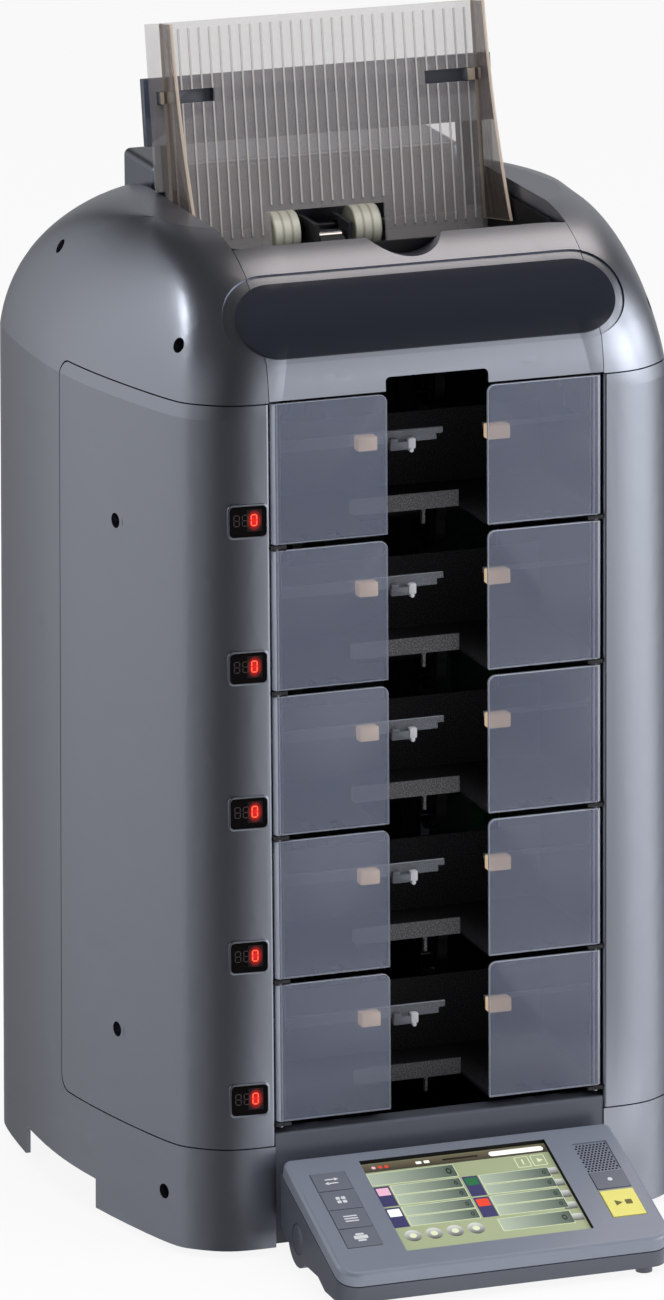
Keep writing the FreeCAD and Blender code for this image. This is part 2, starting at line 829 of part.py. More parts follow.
def pocket_trays():
    trays = []
    across = size.frame_x
    for k in range(POCKETS):
        low = pocket_z(k) - size.tray_drop
        high = low + size.tray_thickness
        name = "tray_%d" % (k + 1)
        floor = box(name + "_floor", (-across, across), (8.0, size.tray_depth), (low, high))
        back = box(
            name + "_back", (-across, across), (size.tray_depth - 2.0, size.tray_depth),
            (low, low + size.tray_back_height),
        )
        ears = [
            box(name + "_ear_%d" % n, x, (-0.2, 9.0), (low, high))
            for n, x in enumerate(((-102.5, -93.0), (93.0, 102.5)))
        ]
        notch_half = size.finger_notch_half
        lip = box(
            name + "_lip", (-notch_half, notch_half),
            (size.finger_notch_depth, size.finger_notch_depth + 2.0), (low, low + 10.0),
        )
        pin = cylinder(name + "_pin", 1.6, 9.0, (12.0, size.finger_notch_depth + 1.0, low - 8.5))
        solid = fuse(name + "_solid", floor, back, lip, pin, *ears)
        notch = box(
            name + "_notch", (-notch_half, notch_half), (0.0, size.finger_notch_depth),
            (low - 1.0, high + 1.0),
        )
        rods = [
            cylinder(
                name + "_rod_hole_%d" % n, size.rod_radius + size.running_gap, 6.0,
                (size.hinge_x * sign, size.hinge_y, low - 2.0),
            )
            for n, sign in enumerate((-1, 1))
        ]
        slots = [
            box(name + "_slot_%d" % n, (x, x + 7.0), (7.0, 22.0), (low - 1.0, high + 1.0))
            for n, x in enumerate((-79.0, -62.0, 55.0, 72.0))
        ]
        trays.append(cut(name, solid, notch, *(rods + slots)))
    keep(group("tray_set", trays), "pocket_trays")


def pocket_doors():
    for k in range(POCKETS):
        low = pocket_z(k)
        high = low + size.door_height
        for side, hand in ((-1, "left"), (1, "right")):
            name = "%s_door_%d" % (hand, k + 1)
            edges = (size.hinge_x * side, size.door_inner_x * side)
            limits = edges if side < 0 else edges[::-1]
            plate = box(name + "_plate", limits, (0.0, size.door_thickness), (low, high))
            inner = float(size.door_inner_x)
            corner = rounded(
                name + "_corner", plate, size.door_corner_radius,
                lambda e: runs_along(e, Y_AXIS)
                and abs(abs(middle(e).x) - inner) < 0.1
                and middle(e).z > float(high) - 0.1,
            )
            axis = (size.hinge_x * side, size.hinge_y, low)
            barrel = cylinder(name + "_barrel", size.knuckle_radius, size.door_height, axis)
            bore = cylinder(
                name + "_bore", size.rod_radius + size.running_gap, size.door_height + 4.0,
                (axis[0], axis[1], low - 2.0),
            )
            keep(cut(name + "_bored", fuse(name + "_form", corner, barrel), bore), name)
    rods = [
        cylinder("hinge_rod_%d" % n, size.rod_radius, 436.0, (size.hinge_x * sign, size.hinge_y, 77.0))
        for n, sign in enumerate((-1, 1))
    ]
    keep(group("hinge_rod_set", rods), "door_hinge_rods")


SENSOR_RISE = 45.5
SENSOR_HEIGHT = 8.5
SENSOR_Y = (19.0, 27.0)
SENSOR_LEFT_X = (-42.0, -30.0)
SENSOR_RIGHT_X = (38.0, 52.0)


def pocket_sensing():
    """Clear arms from the frames across each pocket, with an amber sensor on each end."""
    arms = []
    sensors = []
    for k in range(POCKETS):
        low = pocket_z(k) + SENSOR_RISE
        high = low + SENSOR_HEIGHT
        name = "pocket_%d" % (k + 1)
        left = box(name + "_left_bar", (-size.frame_x, 13.0), (27.0, 29.0), (high - 7.0, high))
        chamfer = cut(
            name + "_left_arm", left, box(name + "_arm_tip", (9.0, 14.0), (26.0, 30.0), (low, high - 3.5))
        )
        right = box(name + "_right_bar", (38.0, size.frame_x), (27.0, 29.0), (high - 3.0, high))
        arms += [chamfer, right]
        sensors += [
            box(name + "_left_sensor", SENSOR_LEFT_X, SENSOR_Y, (low, high)),
            box(name + "_right_sensor", SENSOR_RIGHT_X, SENSOR_Y, (low, high)),
        ]
    keep(group("arm_set", arms), "pocket_guide_arms")
    keep(group("sensor_set", sensors), "pocket_sensors")


# Note stackers: bowed fingers round a hub, several wheels on each shaft

STACKER_FINGERS = 6
STACKER_WHEEL_X = (-45.0, 45.0)
WHEEL_WIDTH = 6.0


def stacker_wheel_face():
    """Flat outline of one wheel, seen along its shaft."""
    hub_radius = 8.0
    radius = float(size.stacker_radius)
    hub = Part.Face(Part.Wire(Part.makeCircle(hub_radius)))
    start, end = Vector(hub_radius - 2.0, 0, 0), Vector(0, radius, 0)
    outer_bow, inner_bow = Vector(16.5, 13.0, 0), Vector(14.3, 11.4, 0)
    tip = Vector(1.5, radius - 2.2, 0)
    root = Vector(hub_radius - 2.5, -2.5, 0)
    outer = Part.Arc(root, outer_bow, end).toShape()
    inner = Part.Arc(start, inner_bow, tip).toShape()
    edges = [outer, Part.makeLine(end, tip), inner, Part.makeLine(start, root)]
    finger = Part.Face(Part.Wire(Part.__sortEdges__(edges)))
    wheel = hub
    for n in range(STACKER_FINGERS):
        blade = finger.copy()
        blade.rotate(Vector(), Z_AXIS, FULL_TURN / STACKER_FINGERS * n)
        wheel = wheel.fuse(blade)
    return wheel.removeSplitter()


def stackers():
    face = stacker_wheel_face()
    half = float(size.frame_x) + float(size.frame_thickness)
    for k in range(POCKETS):
        axis_z = float(pocket_z(k) + size.stacker_rise)
        shaft = Part.makeCylinder(float(size.shaft_radius), 2 * half, Vector(-half, 0, 0), X_AXIS)
        for x in STACKER_WHEEL_X:
            wheel = face.extrude(Vector(0, 0, WHEEL_WIDTH))
            wheel.Placement = Placement(Vector(x - WHEEL_WIDTH / 2, 0, 0), TURN_TO_X)
            shaft = shaft.fuse(wheel)
        shaft.translate(Vector(0, float(size.stacker_y), axis_z))
        feature("stacker_%d" % (k + 1), shaft.removeSplitter())


# Transport: two pulley shafts with three flat belts, and the motor beside them

BELT_X = (-60.0, 0.0, 60.0)
BELT_WIDTH = 12.0


def belt_loop(radius):
    """Racetrack round both pulley shafts, as a face in the YZ plane."""
    y = float(size.belt_y)
    top = float(size.belt_top_z)
    bottom = float(size.belt_bottom_z)
    edges = [
        Part.Arc(
            Vector(0, y - radius, top), Vector(0, y, top + radius), Vector(0, y + radius, top)
        ).toShape(),
        Part.makeLine(Vector(0, y + radius, top), Vector(0, y + radius, bottom)),
        Part.Arc(
            Vector(0, y + radius, bottom), Vector(0, y, bottom - radius), Vector(0, y - radius, bottom)
        ).toShape(),
        Part.makeLine(Vector(0, y - radius, bottom), Vector(0, y - radius, top)),
    ]
    return Part.Face(Part.Wire(edges))


def transport():
    inner = float(size.pulley_radius + size.running_gap)
    band = belt_loop(inner + float(size.belt_thickness)).cut(belt_loop(inner))
    belts = []
    for x in BELT_X:
        belt = band.extrude(Vector(BELT_WIDTH, 0, 0))
        belt.translate(Vector(x - BELT_WIDTH / 2, 0, 0))
        belts.append(belt)
    feature("transport_belts", Part.makeCompound(belts))
    reach = size.frame_x + size.frame_thickness
    for name, z in (("upper", size.belt_top_z), ("lower", size.belt_bottom_z)):
        y = size.belt_y
        shaft = cylinder(name + "_shaft", size.shaft_radius, reach * 2.0, (-reach, y, z), TURN_TO_X)
        pulleys = [
            cylinder("%s_pulley_%d" % (name, n), size.pulley_radius, 16.0, (x - 8.0, y, z), TURN_TO_X)
            for n, x in enumerate(BELT_X)
        ]
        keep(fuse(name + "_roller", shaft, *pulleys), name + "_transport_shaft")
    can = cylinder("motor_can", 27.0, 55.0, (-101.5, 180.0, 62.0), TURN_TO_X)
    flange = box("motor_flange", (-size.frame_x, -101.5), (152.0, 208.0), (34.0, 90.0))
    nose = cylinder("motor_nose", 10.0, 6.0, (-46.5, 180.0, 62.0), TURN_TO_X)
    keep(fuse("motor_form", can, flange, nose), "main_motor")


# Hopper: well, rear block, leaning plate, guides and pickup rollers


def hopper_well():
    outer = box("well_outer", (-102.0, 102.0), (64.0, 222.0), (538.0, 588.0))
    inner = box("well_inner", (-100.0, 100.0), (66.0, 230.0), (540.0, 600.0))

    def front_corner(edge):
        return runs_along(edge, Z_AXIS) and local_y(middle(edge)) < 70.0

    shaped = cut(
        "well_walls",
        rounded("well_outer_round", outer, 25.0, front_corner),
        rounded("well_inner_round", inner, 23.0, front_corner),
        box("well_feed_gap", (-110.0, 110.0), (186.0, 230.0), (530.0, 572.0)),
    )
    flanges = [
        box("well_flange_%d" % n, x, (95.0, 180.0), (582.0, 583.5))
        for n, x in enumerate(((-106.4, -101.0), (101.0, 106.4)))
    ]
    posts = []
    for n, x in enumerate(((-101.0, -88.0), (88.0, 101.0))):
        post = box("plate_post_%d" % n, x, (0.0, 0.0), (0.0, 0.0))
        bind(post, "Length", 13.0)
        bind(post, "Width", 11.0)
        bind(post, "Height", 50.0)
        lean_in(post, x[0], size.plate_thickness, 10.0)
        posts.append(post)
    keep(fuse("well_form", shaped, *(flanges + posts)), "hopper_well")


def lean_in(thing, x, back, up):
    """Put a piece on the leaning plate's own axes: across, behind the plate and up it."""
    lean = math.radians(float(size.plate_lean))
    behind = float(back)
    thing.Placement = Placement(Vector(), Rotation(X_AXIS, -float(size.plate_lean)))
    y = size.front_plane + size.plate_y + (behind * math.cos(lean) + up * math.sin(lean))
    z = size.plate_z + (up * math.cos(lean) - behind * math.sin(lean))
    place(thing, x, y, z)


def leaning_box(name, x, back, up):
    """A block on the leaning plate's own axes."""
    block = doc.addObject("Part::Box", name)
    bind(block, "Length", x[1] - x[0])
    bind(block, "Width", back[1] - back[0])
    bind(block, "Height", up[1] - up[0])
    lean_in(block, x[0], back[0], float(up[0]))
    return block


RIB_COUNT = 30
RIB_PITCH = 6.4
SLOT_X = (66.0, 102.0)
SLOT_UP = (84.0, 92.0)


def hopper_plate():
    thick = size.plate_thickness
    half = size.plate_half
    upper = leaning_box("plate_upper", (-half, half), (0.0, thick), (33.0, size.plate_top))
    lower = leaning_box("plate_lower", (-100.0, 100.0), (0.0, thick), (-22.0, 34.0))
    rib_middles = [RIB_PITCH * (n - (RIB_COUNT - 1) / 2) for n in range(RIB_COUNT)]
    ribs = [
        leaning_box("plate_rib_%d" % n, (x - 0.5, x + 0.5), (-0.9, 0.5), (20.0, 128.0))
        for n, x in enumerate(rib_middles)
    ]
    sheet_form = fuse("plate_form", upper, lower, *ribs)
    roller_gap = leaning_box("plate_roller_gap", (-36.0, 36.0), (-2.0, 4.0), (-23.0, 16.0))
    slots = [
        leaning_box("plate_slot_%d" % n, x, (-2.0, 4.0), SLOT_UP)
        for n, x in enumerate(((-SLOT_X[1], -SLOT_X[0]), SLOT_X))
    ]
    keep(cut("plate_cut", sheet_form, roller_gap, *slots), "hopper_plate")


def guide_rail():
    bar = leaning_box("rail_bar", (-109.0, 109.0), (size.plate_thickness, 9.0), (60.0, 100.0))
    hollow = leaning_box("rail_hollow", (-62.0, 62.0), (4.6, 10.0), (64.0, 96.0))
    slots = [
        leaning_box("rail_slot_%d" % n, x, (0.0, 12.0), SLOT_UP)
        for n, x in enumerate(((-SLOT_X[1], -SLOT_X[0]), SLOT_X))
    ]
    keep(cut("rail_form", bar, hollow, *slots), "guide_rail")


def note_guides():
    """Two clear fins in front of the plate, each on a slider behind the rail."""
    lean = Rotation(X_AXIS, -float(size.plate_lean))
    foot = Vector(0, float(size.plate_y), float(size.plate_z))
    top = float(size.plate_top)
    for side, hand in ((-1, "left"), (1, "right")):
        fin_x = side * float(size.guide_x)
        rear_low, rear_high = Vector(0, -1.8, 2.0), Vector(0, -1.8, top)
        front_high, front_low = Vector(0, -22.0, top), Vector(0, -49.0, 2.0)
        bow = Part.Arc(front_high, Vector(0, -31.0, 64.0), front_low).toShape()
        edges = [
            Part.makeLine(rear_low, rear_high), Part.makeLine(rear_high, front_high),
            bow, Part.makeLine(front_low, rear_low),
        ]
        fin = Part.Face(Part.Wire(edges)).extrude(Vector(2.0, 0, 0))
        fin.translate(Vector(fin_x - 1.0, 0, 0))
        carrier_up = (SLOT_UP[0] + 0.5, SLOT_UP[1] - 0.5)
        carrier = block_shape(side_range(side, 92.0, 100.5), (-3.0, 11.0), carrier_up)
        clip = block_shape(side_range(side, 62.0, 106.0), (9.3, 12.0), (76.0, 99.0))
        guide = fin.fuse(carrier).fuse(clip).removeSplitter()
        moulding = doc.addObject("Part::Feature", hand + "_note_guide")
        moulding.Shape = guide
        shift = Placement(Vector(0, float(size.front_plane), 0), Rotation())
        moulding.Placement = shift.multiply(Placement(foot, lean))
        keep(moulding, hand + "_note_guide")


def hopper_rear_housing():
    half = size.block_half
    outer = box("block_outer", (-half, half), (224.0, 282.0), (538.0, size.block_top))
    top = float(size.block_top)
    soft = rounded("block_round", outer, 4.0, lambda e: middle(e).z > top - 0.1 or runs_along(e, Z_AXIS))
    inner = box("block_inner", (2.5 - half, half - 2.5), (226.5, 279.5), (530.0, size.block_top - 2.5))
    hollow = cut("block_hollow", soft, inner)
    flanges = [
        box("block_flange_%d" % n, x, (230.0, 260.0), (538.0, 539.5))
        for n, x in enumerate(((-106.4, -95.0), (95.0, 106.4)))
    ]
    keep(fuse("block_form", hollow, *flanges), "hopper_rear_housing")


TYRE_X = ((-34.0, -17.0), (17.0, 34.0))


def pickup():
    reach = size.frame_x + size.frame_thickness
    axis_y, axis_z = size.pickup_y, size.pickup_z
    shaft = cylinder("pickup_bar", size.shaft_radius, reach * 2.0, (-reach, axis_y, axis_z), TURN_TO_X)
    tyres = []
    for n, (start, end) in enumerate(TYRE_X):
        at = (start, axis_y, axis_z)
        disc = cylinder("pickup_disc_%d" % n, size.tyre_radius, end - start, at, TURN_TO_X)
        tyres.append(rounded("pickup_tyre_%d" % n, disc, 1.0, lambda e: e.Closed))
    keep(fuse("pickup_form", shaft, *tyres), "pickup_roller")
    drum = cylinder("press_drum", size.press_radius, 15.0, (-7.5, size.press_y, size.press_z), TURN_TO_X)
    axle = cylinder("press_axle", 2.0, 23.0, (-11.5, size.press_y, size.press_z), TURN_TO_X)
    keep(fuse("press_form", drum, axle), "press_roller")
    cheeks = [
        box("yoke_cheek_%d" % n, x, (178.0, 208.0), (540.0, 574.0))
        for n, x in enumerate(((-12.0, -9.0), (9.0, 12.0)))
    ]
    bridge = box("yoke_bridge", (-12.0, 12.0), (178.0, 185.0), (540.0, 550.0))
    axle_at = (-20.0, size.press_y, size.press_z)
    axle_hole = cylinder("yoke_axle_hole", 2.0 + size.running_gap, 40.0, axle_at, TURN_TO_X)
    shaft_at = (-20.0, axis_y, axis_z)
    shaft_hole = cylinder("yoke_shaft_hole", size.shaft_radius + 1.0, 40.0, shaft_at, TURN_TO_X)
    yoke = cut("yoke_form", fuse("yoke_block", bridge, *cheeks), axle_hole, shaft_hole)
    keep(yoke, "press_roller_yoke")


# Electrics: supply, main board, inlet and rocker


def electrics():
    case = box("supply_case", (24.0, 98.0), (252.0, 308.0), (26.5, 72.0))
    slots = [
        box("supply_slot_%d" % n, (32.0 + 8.0 * n, 36.0 + 8.0 * n), (258.0, 302.0), (70.5, 73.0))
        for n in range(8)
    ]
    keep(cut("supply_form", case, *slots), "power_supply")
    board = box("board_sheet", (99.0, 100.6), (172.0, 290.0), (150.0, 400.0))
    posts = [
        cylinder("board_post_%d" % n, 3.0, size.frame_x - 100.0, (100.0, y, z), TURN_TO_X)
        for n, (y, z) in enumerate(((176.0, 156.0), (286.0, 156.0), (176.0, 394.0), (286.0, 394.0)))
    ]
    chips = [
        box("board_part_%d" % n, (90.0, 99.5), (y, y + 22.0), (z, z + 40.0))
        for n, (y, z) in enumerate(((190.0, 180.0), (250.0, 240.0), (196.0, 320.0)))
    ]
    keep(fuse("board_form", board, *(posts + chips)), "main_board")
    module = box("inlet_module", (-74.0, -24.0), (303.0, 329.4), (44.0, 66.0))
    foot = box("inlet_foot", (-74.0, -24.0), (300.0, 311.0), (26.5, 46.0))
    socket = box("inlet_socket", (-72.0, -46.0), (313.0, 331.0), (47.0, 63.0))
    well = box("switch_well", (-42.0, -27.0), (316.0, 331.0), (45.5, 64.5))
    blades = [
        box("inlet_blade_%d" % n, (x - 1.0, x + 1.0), (312.0, 323.0), (z - 2.0, z + 2.0))
        for n, (x, z) in enumerate(((-66.0, 52.0), (-52.0, 52.0), (-59.0, 58.0)))
    ]
    hollow = cut("inlet_hollow", fuse("inlet_block", module, foot), socket, well)
    axle_hole = cylinder("switch_axle_hole", 1.5 + size.running_gap, 19.0, (-44.0, 321.0, 55.0), TURN_TO_X)
    keep(cut("inlet_form", fuse("inlet_bladed", hollow, *blades), axle_hole), "power_inlet")
    body = new_body("rocker")
    side = [(319.0, 49.0), (327.0, 45.8), (327.0, 54.3), (329.0, 62.5), (319.0, 61.0)]
    pad(body, outline(body, "rocker_side", "YZ_Plane", side, -41.5), 14.0)
    axle = cylinder("rocker_axle", 1.5, 17.0, (-43.0, 321.0, 55.0), TURN_TO_X)
    keep(fuse("rocker_form", body, axle), "power_switch")


# Operator panel: lower case with cheeks, bezel, screen, keys and pivot pins


def panel_frame(thing, x, up_slope, out):
    """Put a piece on the panel's own axes: across, up the slope and out of its face."""
    tilt = math.radians(float(size.panel_tilt))
    thing.Placement = Placement(Vector(), Rotation(X_AXIS, float(size.panel_tilt)))
    up = float(up_slope)
    away = float(out)
    y = size.front_plane + size.panel_y + (up * math.cos(tilt) - away * math.sin(tilt))
    z = size.panel_z + (up * math.sin(tilt) + away * math.cos(tilt))
    place(thing, x, y, z)


def sloped_box(name, x, up_slope, out):
    """A block on the panel's own axes."""
    block = doc.addObject("Part::Box", name)
    bind(block, "Length", x[1] - x[0])
    bind(block, "Width", up_slope[1] - up_slope[0])
    bind(block, "Height", out[1] - out[0])
    panel_frame(block, x[0], up_slope[0], out[0])
    return block


def slope_place(point):
    """Where a point is on the panel's own axes, as (across, up the slope, out)."""
    tilt = math.radians(float(size.panel_tilt))
    y = local_y(point) - float(size.panel_y)
    z = point.z - float(size.panel_z)
    return point.x, y * math.cos(tilt) + z * math.sin(tilt), z * math.cos(tilt) - y * math.sin(tilt)


KEY_LEFT_X = (-91.5, -69.5)
KEY_RIGHT_X = (72.5, 94.0)
KEY_PITCH = 18.0
FIRST_KEY = -17.0
KEYS = {
    "change_key": (KEY_LEFT_X, (FIRST_KEY - KEY_PITCH + 0.5, FIRST_KEY)),
    "mode_key": (KEY_LEFT_X, (FIRST_KEY - 2 * KEY_PITCH + 0.5, FIRST_KEY - KEY_PITCH)),
    "menu_key": (KEY_LEFT_X, (FIRST_KEY - 3 * KEY_PITCH + 0.5, FIRST_KEY - 2 * KEY_PITCH)),
    "print_key": (KEY_LEFT_X, (FIRST_KEY - 4 * KEY_PITCH + 0.5, FIRST_KEY - 3 * KEY_PITCH)),
    "clear_key": (KEY_RIGHT_X, (-62.5, -46.0)),
    "start_stop_key": (KEY_RIGHT_X, (-89.5, -64.0)),
}
SPEAKER_X = (72.5, 94.0)
SPEAKER_UP = (-45.0, -17.0)


def panel_bezel():
    half = size.panel_half
    depth = size.bezel_depth
    skin = size.bezel_skin
    slab = sloped_box("bezel_slab", (-half, half), (-size.panel_length, 0.0), (-depth, 0.0))
    length = float(size.panel_length)

    def upright(edge, front):
        ends = [slope_place(v.Point) for v in edge.Vertexes]
        lies_out = len(ends) == 2 and abs(ends[0][2] - ends[1][2]) > 5.0
        return lies_out and (ends[0][1] < -length / 2) == front

    front_radius = float(size.panel_corner)
    corners = rounded("bezel_front_corners", slab, front_radius, lambda e: upright(e, True))
    shaped = rounded("bezel_rear_corners", corners, 5.0, lambda e: upright(e, False))
    rim = rounded(
        "bezel_rim", shaped, 2.6, lambda e: all(abs(slope_place(v.Point)[2]) < 0.01 for v in e.Vertexes)
    )
    hollow = sloped_box(
        "bezel_hollow", (skin - half, half - skin), (skin - size.panel_length, -skin), (-depth - 1.0, -skin)
    )
    hollow = rounded("bezel_hollow_round", hollow, front_radius - 3.0, lambda e: upright(e, True))
    screen = sloped_box(
        "bezel_screen", (-size.screen_half, size.screen_half), (-size.screen_bottom, -size.screen_top),
        (-depth, 3.0),
    )
    openings = [
        sloped_box(name + "_opening", x, up, (-depth, 3.0)) for name, (x, up) in KEYS.items()
    ]
    speaker = sloped_box("bezel_speaker", SPEAKER_X, SPEAKER_UP, (-1.0, 3.0))
    keep(cut("bezel_form", rim, hollow, screen, speaker, *openings), "panel_bezel")


def panel_keys():
    gap = float(size.key_gap)
    skin = float(size.bezel_skin)
    for name, (x, up) in KEYS.items():
        cap = sloped_box(
            name + "_cap", (x[0] + gap, x[1] - gap), (up[0] + gap, up[1] - gap), (-4.0, size.key_proud)
        )
        proud = float(size.key_proud)
        crown = rounded(
            name + "_crown", cap, 0.4,
            lambda e: all(abs(slope_place(v.Point)[2] - proud) < 0.01 for v in e.Vertexes),
        )
        flange = sloped_box(
            name + "_flange", (x[0] - 0.2, x[1] + 0.2), (up[0] - 0.1, up[1] + 0.1), (-5.0, -skin - 0.05)
        )
        keep(fuse(name + "_form", crown, flange), name)


def touchscreen():
    half = size.screen_half + 3.0
    up_slope = (-size.screen_bottom - 3.0, -size.screen_top + 3.0)
    keep(sloped_box("screen_glass", (-half, half), up_slope, (-8.0, -size.bezel_skin)), "touchscreen")


def case_seam():
    """Shadow groove round the lower case, just under the bezel."""
    half = float(size.panel_half)
    length = float(size.panel_length)
    out = (-float(size.bezel_depth) - 0.8, -float(size.bezel_depth) + 0.5)
    ring = sloped_box("seam_outer", (-half - 2.0, half + 2.0), (-length - 2.0, 2.0), out)
    core = sloped_box("seam_core", (0.7 - half, half - 0.7), (0.7 - length, -0.7), out)

    def front_corner(edge):
        ends = [slope_place(v.Point) for v in edge.Vertexes]
        return abs(ends[0][2] - ends[1][2]) > 1.0 and ends[0][1] < -length / 2

    kept = rounded("seam_core_round", core, float(size.panel_corner) - 0.7, front_corner)
    return cut("case_seam", ring, kept)


def panel_housing():
    body = new_body("panel_case")
    tilt = math.radians(float(size.panel_tilt))
    depth = float(size.bezel_depth)
    length = float(size.panel_length)
    rear_y = float(size.panel_y) + depth * math.sin(tilt)
    rear_z = float(size.panel_z) - depth * math.cos(tilt)
    front_y = rear_y - length * math.cos(tilt)
    front_z = rear_z - length * math.sin(tilt)
    corners = [
        (rear_y, rear_z), (rear_y - 1.0, 20.0), (-16.0, 14.0), (-28.0, 14.0), (-46.0, 9.0),
        (-72.0, 9.0), (-84.0, 4.0), (front_y + 2.5, 4.0), (front_y, front_z),
    ]
    side = outline(body, "case_side", "YZ_Plane", corners, -size.panel_half)
    pad(body, side, size.panel_half * 2.0)
    half = size.panel_half
    corner_radius = float(size.panel_corner)

    def front_corner(edge):
        at_side = abs(middle(edge).x) > float(half) - 5.0
        return at_side and local_y(middle(edge)) < front_y + 5.0

    shaped = rounded("case_corners", body, corner_radius, front_corner)
    barrel_at = (-half, size.pivot_y, size.pivot_z)
    barrel = cylinder("case_barrel", size.barrel_radius, half * 2.0, barrel_at, TURN_TO_X)
    feet = [
        cylinder("case_foot_%d" % n, 5.0, 6.0, (x, y, 0.0))
        for n, (x, y) in enumerate(((-88.0, -104.0), (88.0, -104.0), (-76.0, -92.0), (76.0, -92.0)))
    ]
    joined = fuse("case_block", shaped, barrel, *feet)
    hollow_body = new_body("case_hollow")
    inside = [
        (-11.0, 62.0), (-11.0, 31.0), (-44.0, 31.0), (-56.0, 13.0), (-82.0, 13.0), (-88.0, 8.0),
        (front_y + 4.0, 8.0), (front_y + 4.0, 40.0),
    ]
    pad(hollow_body, outline(hollow_body, "case_inside", "YZ_Plane", inside, 3.5 - half), half * 2.0 - 7.0)
    hollow = rounded("case_hollow_round", hollow_body, corner_radius - 3.5, front_corner)
    slots = [
        box("case_slot_%d" % n, x, (-51.0, 2.0), (-1.0, 32.0))
        for n, x in enumerate(((-88.5, -71.5), (71.5, 88.5)))
    ]
    bores = []
    for n, sign in enumerate((-1, 1)):
        start = 70.0 if sign > 0 else -110.0
        recess = half - 1.6 if sign > 0 else -half - 5.0
        radius = size.pin_radius + size.running_gap
        bore_at = (start, size.pivot_y, size.pivot_z)
        bores.append(cylinder("case_bore_%d" % n, radius, 40.0, bore_at, TURN_TO_X))
        recess_at = (recess, size.pivot_y, size.pivot_z)
        bores.append(cylinder("case_recess_%d" % n, size.cap_radius + 0.4, 6.6, recess_at, TURN_TO_X))
    keep(cut("case_form", joined, hollow, case_seam(), *(slots + bores)), "panel_housing")


def panel_pivot_pins():
    half = size.panel_half
    pins = []
    for n, sign in enumerate((-1, 1)):
        start = 70.0 if sign > 0 else -half
        bar = cylinder(
            "pivot_bar_%d" % n, size.pin_radius, half - 70.0, (start, size.pivot_y, size.pivot_z), TURN_TO_X
        )
        cap_x = half - 1.3 if sign > 0 else -half
        cap_at = (cap_x, size.pivot_y, size.pivot_z)
        cap = cylinder("pivot_cap_%d" % n, size.cap_radius, 1.3, cap_at, TURN_TO_X)
        pins.append(fuse("pivot_pin_%d" % n, bar, cap))
    keep(group("pivot_pin_set", pins), "panel_pivot_pins")


def build():
    housing()
    base_plate()
    frame_plate(-1, "left_frame_plate")
    frame_plate(1, "right_frame_plate")
    tie_bars()
    base_feet()
    front_sill()
    pocket_trays()
    pocket_doors()
    pocket_sensing()
    stackers()
    transport()
    hopper_well()
    hopper_plate()
    guide_rail()
    note_guides()
    hopper_rear_housing()
    pickup()
    electrics()
    panel_housing()
    panel_bezel()
    panel_keys()
    touchscreen()
    panel_pivot_pins()


def write_parts():
    """Check the document, then write one file for each named piece."""
    doc.recompute()
    for thing in doc.Objects:
        if "Invalid" in thing.State or "Error" in thing.State:
            raise RuntimeError("%s failed: %s" % (thing.Name, thing.State))
    for thing in sub_parts:
        if thing.Shape.isNull() or not thing.Shape.isValid() or not thing.Shape.Solids:
            raise RuntimeError("%s has no sound shape" % thing.Label)
    os.makedirs("parts", exist_ok=True)
    for thing in sub_parts:
        thing.Shape.exportStep("parts/%s.step" % thing.Label)


build()
write_parts()
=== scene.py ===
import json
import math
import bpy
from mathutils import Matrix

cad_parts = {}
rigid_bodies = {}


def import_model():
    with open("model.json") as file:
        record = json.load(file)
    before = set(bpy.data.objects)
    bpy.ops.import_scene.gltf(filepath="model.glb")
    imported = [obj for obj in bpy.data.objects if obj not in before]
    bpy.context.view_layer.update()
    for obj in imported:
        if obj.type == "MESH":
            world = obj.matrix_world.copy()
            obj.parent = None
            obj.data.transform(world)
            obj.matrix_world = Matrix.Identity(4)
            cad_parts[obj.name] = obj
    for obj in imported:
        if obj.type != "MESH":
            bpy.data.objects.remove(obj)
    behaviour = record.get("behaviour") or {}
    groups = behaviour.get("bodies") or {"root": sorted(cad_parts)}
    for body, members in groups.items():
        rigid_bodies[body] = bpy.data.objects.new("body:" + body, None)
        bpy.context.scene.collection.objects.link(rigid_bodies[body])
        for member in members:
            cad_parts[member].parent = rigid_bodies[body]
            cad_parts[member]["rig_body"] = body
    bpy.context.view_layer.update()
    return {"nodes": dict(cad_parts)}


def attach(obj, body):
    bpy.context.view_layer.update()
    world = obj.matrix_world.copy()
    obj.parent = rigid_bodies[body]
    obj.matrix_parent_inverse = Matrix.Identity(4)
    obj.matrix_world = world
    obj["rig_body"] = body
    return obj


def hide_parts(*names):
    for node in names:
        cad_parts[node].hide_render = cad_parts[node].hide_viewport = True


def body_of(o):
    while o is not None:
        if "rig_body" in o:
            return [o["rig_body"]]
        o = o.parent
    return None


bl_info = {
    "name": "Banknote sorter looks",
    "version": (1, 0, 0),
    "blender": (4, 5, 0),
    "location": "View3D > Sidebar > Note sorter",
    "description": "Finishes, small fittings and studio for the five-pocket banknote sorter",
    "category": "Object",
}

import bpy
from bpy.props import FloatProperty, FloatVectorProperty, PointerProperty
from mathutils import Matrix, Vector

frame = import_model()
MM = 0.001
POCKETS = 5
# Measures closer than this, in metres, count as equal
TINY = 1e-7
# Edges flatter than these angles are smoothed over
SMOOTH_ANGLE = math.radians(35)
EDGE_ANGLE = math.radians(40)


def linear(code):
    """Linear RGB from an sRGB hex code."""
    values = [int(code[i : i + 2], 16) / 255 for i in (1, 3, 5)]
    return tuple(v / 12.92 if v <= 0.04045 else ((v + 0.055) / 1.055) ** 2.4 for v in values)


# Settings that a user would change


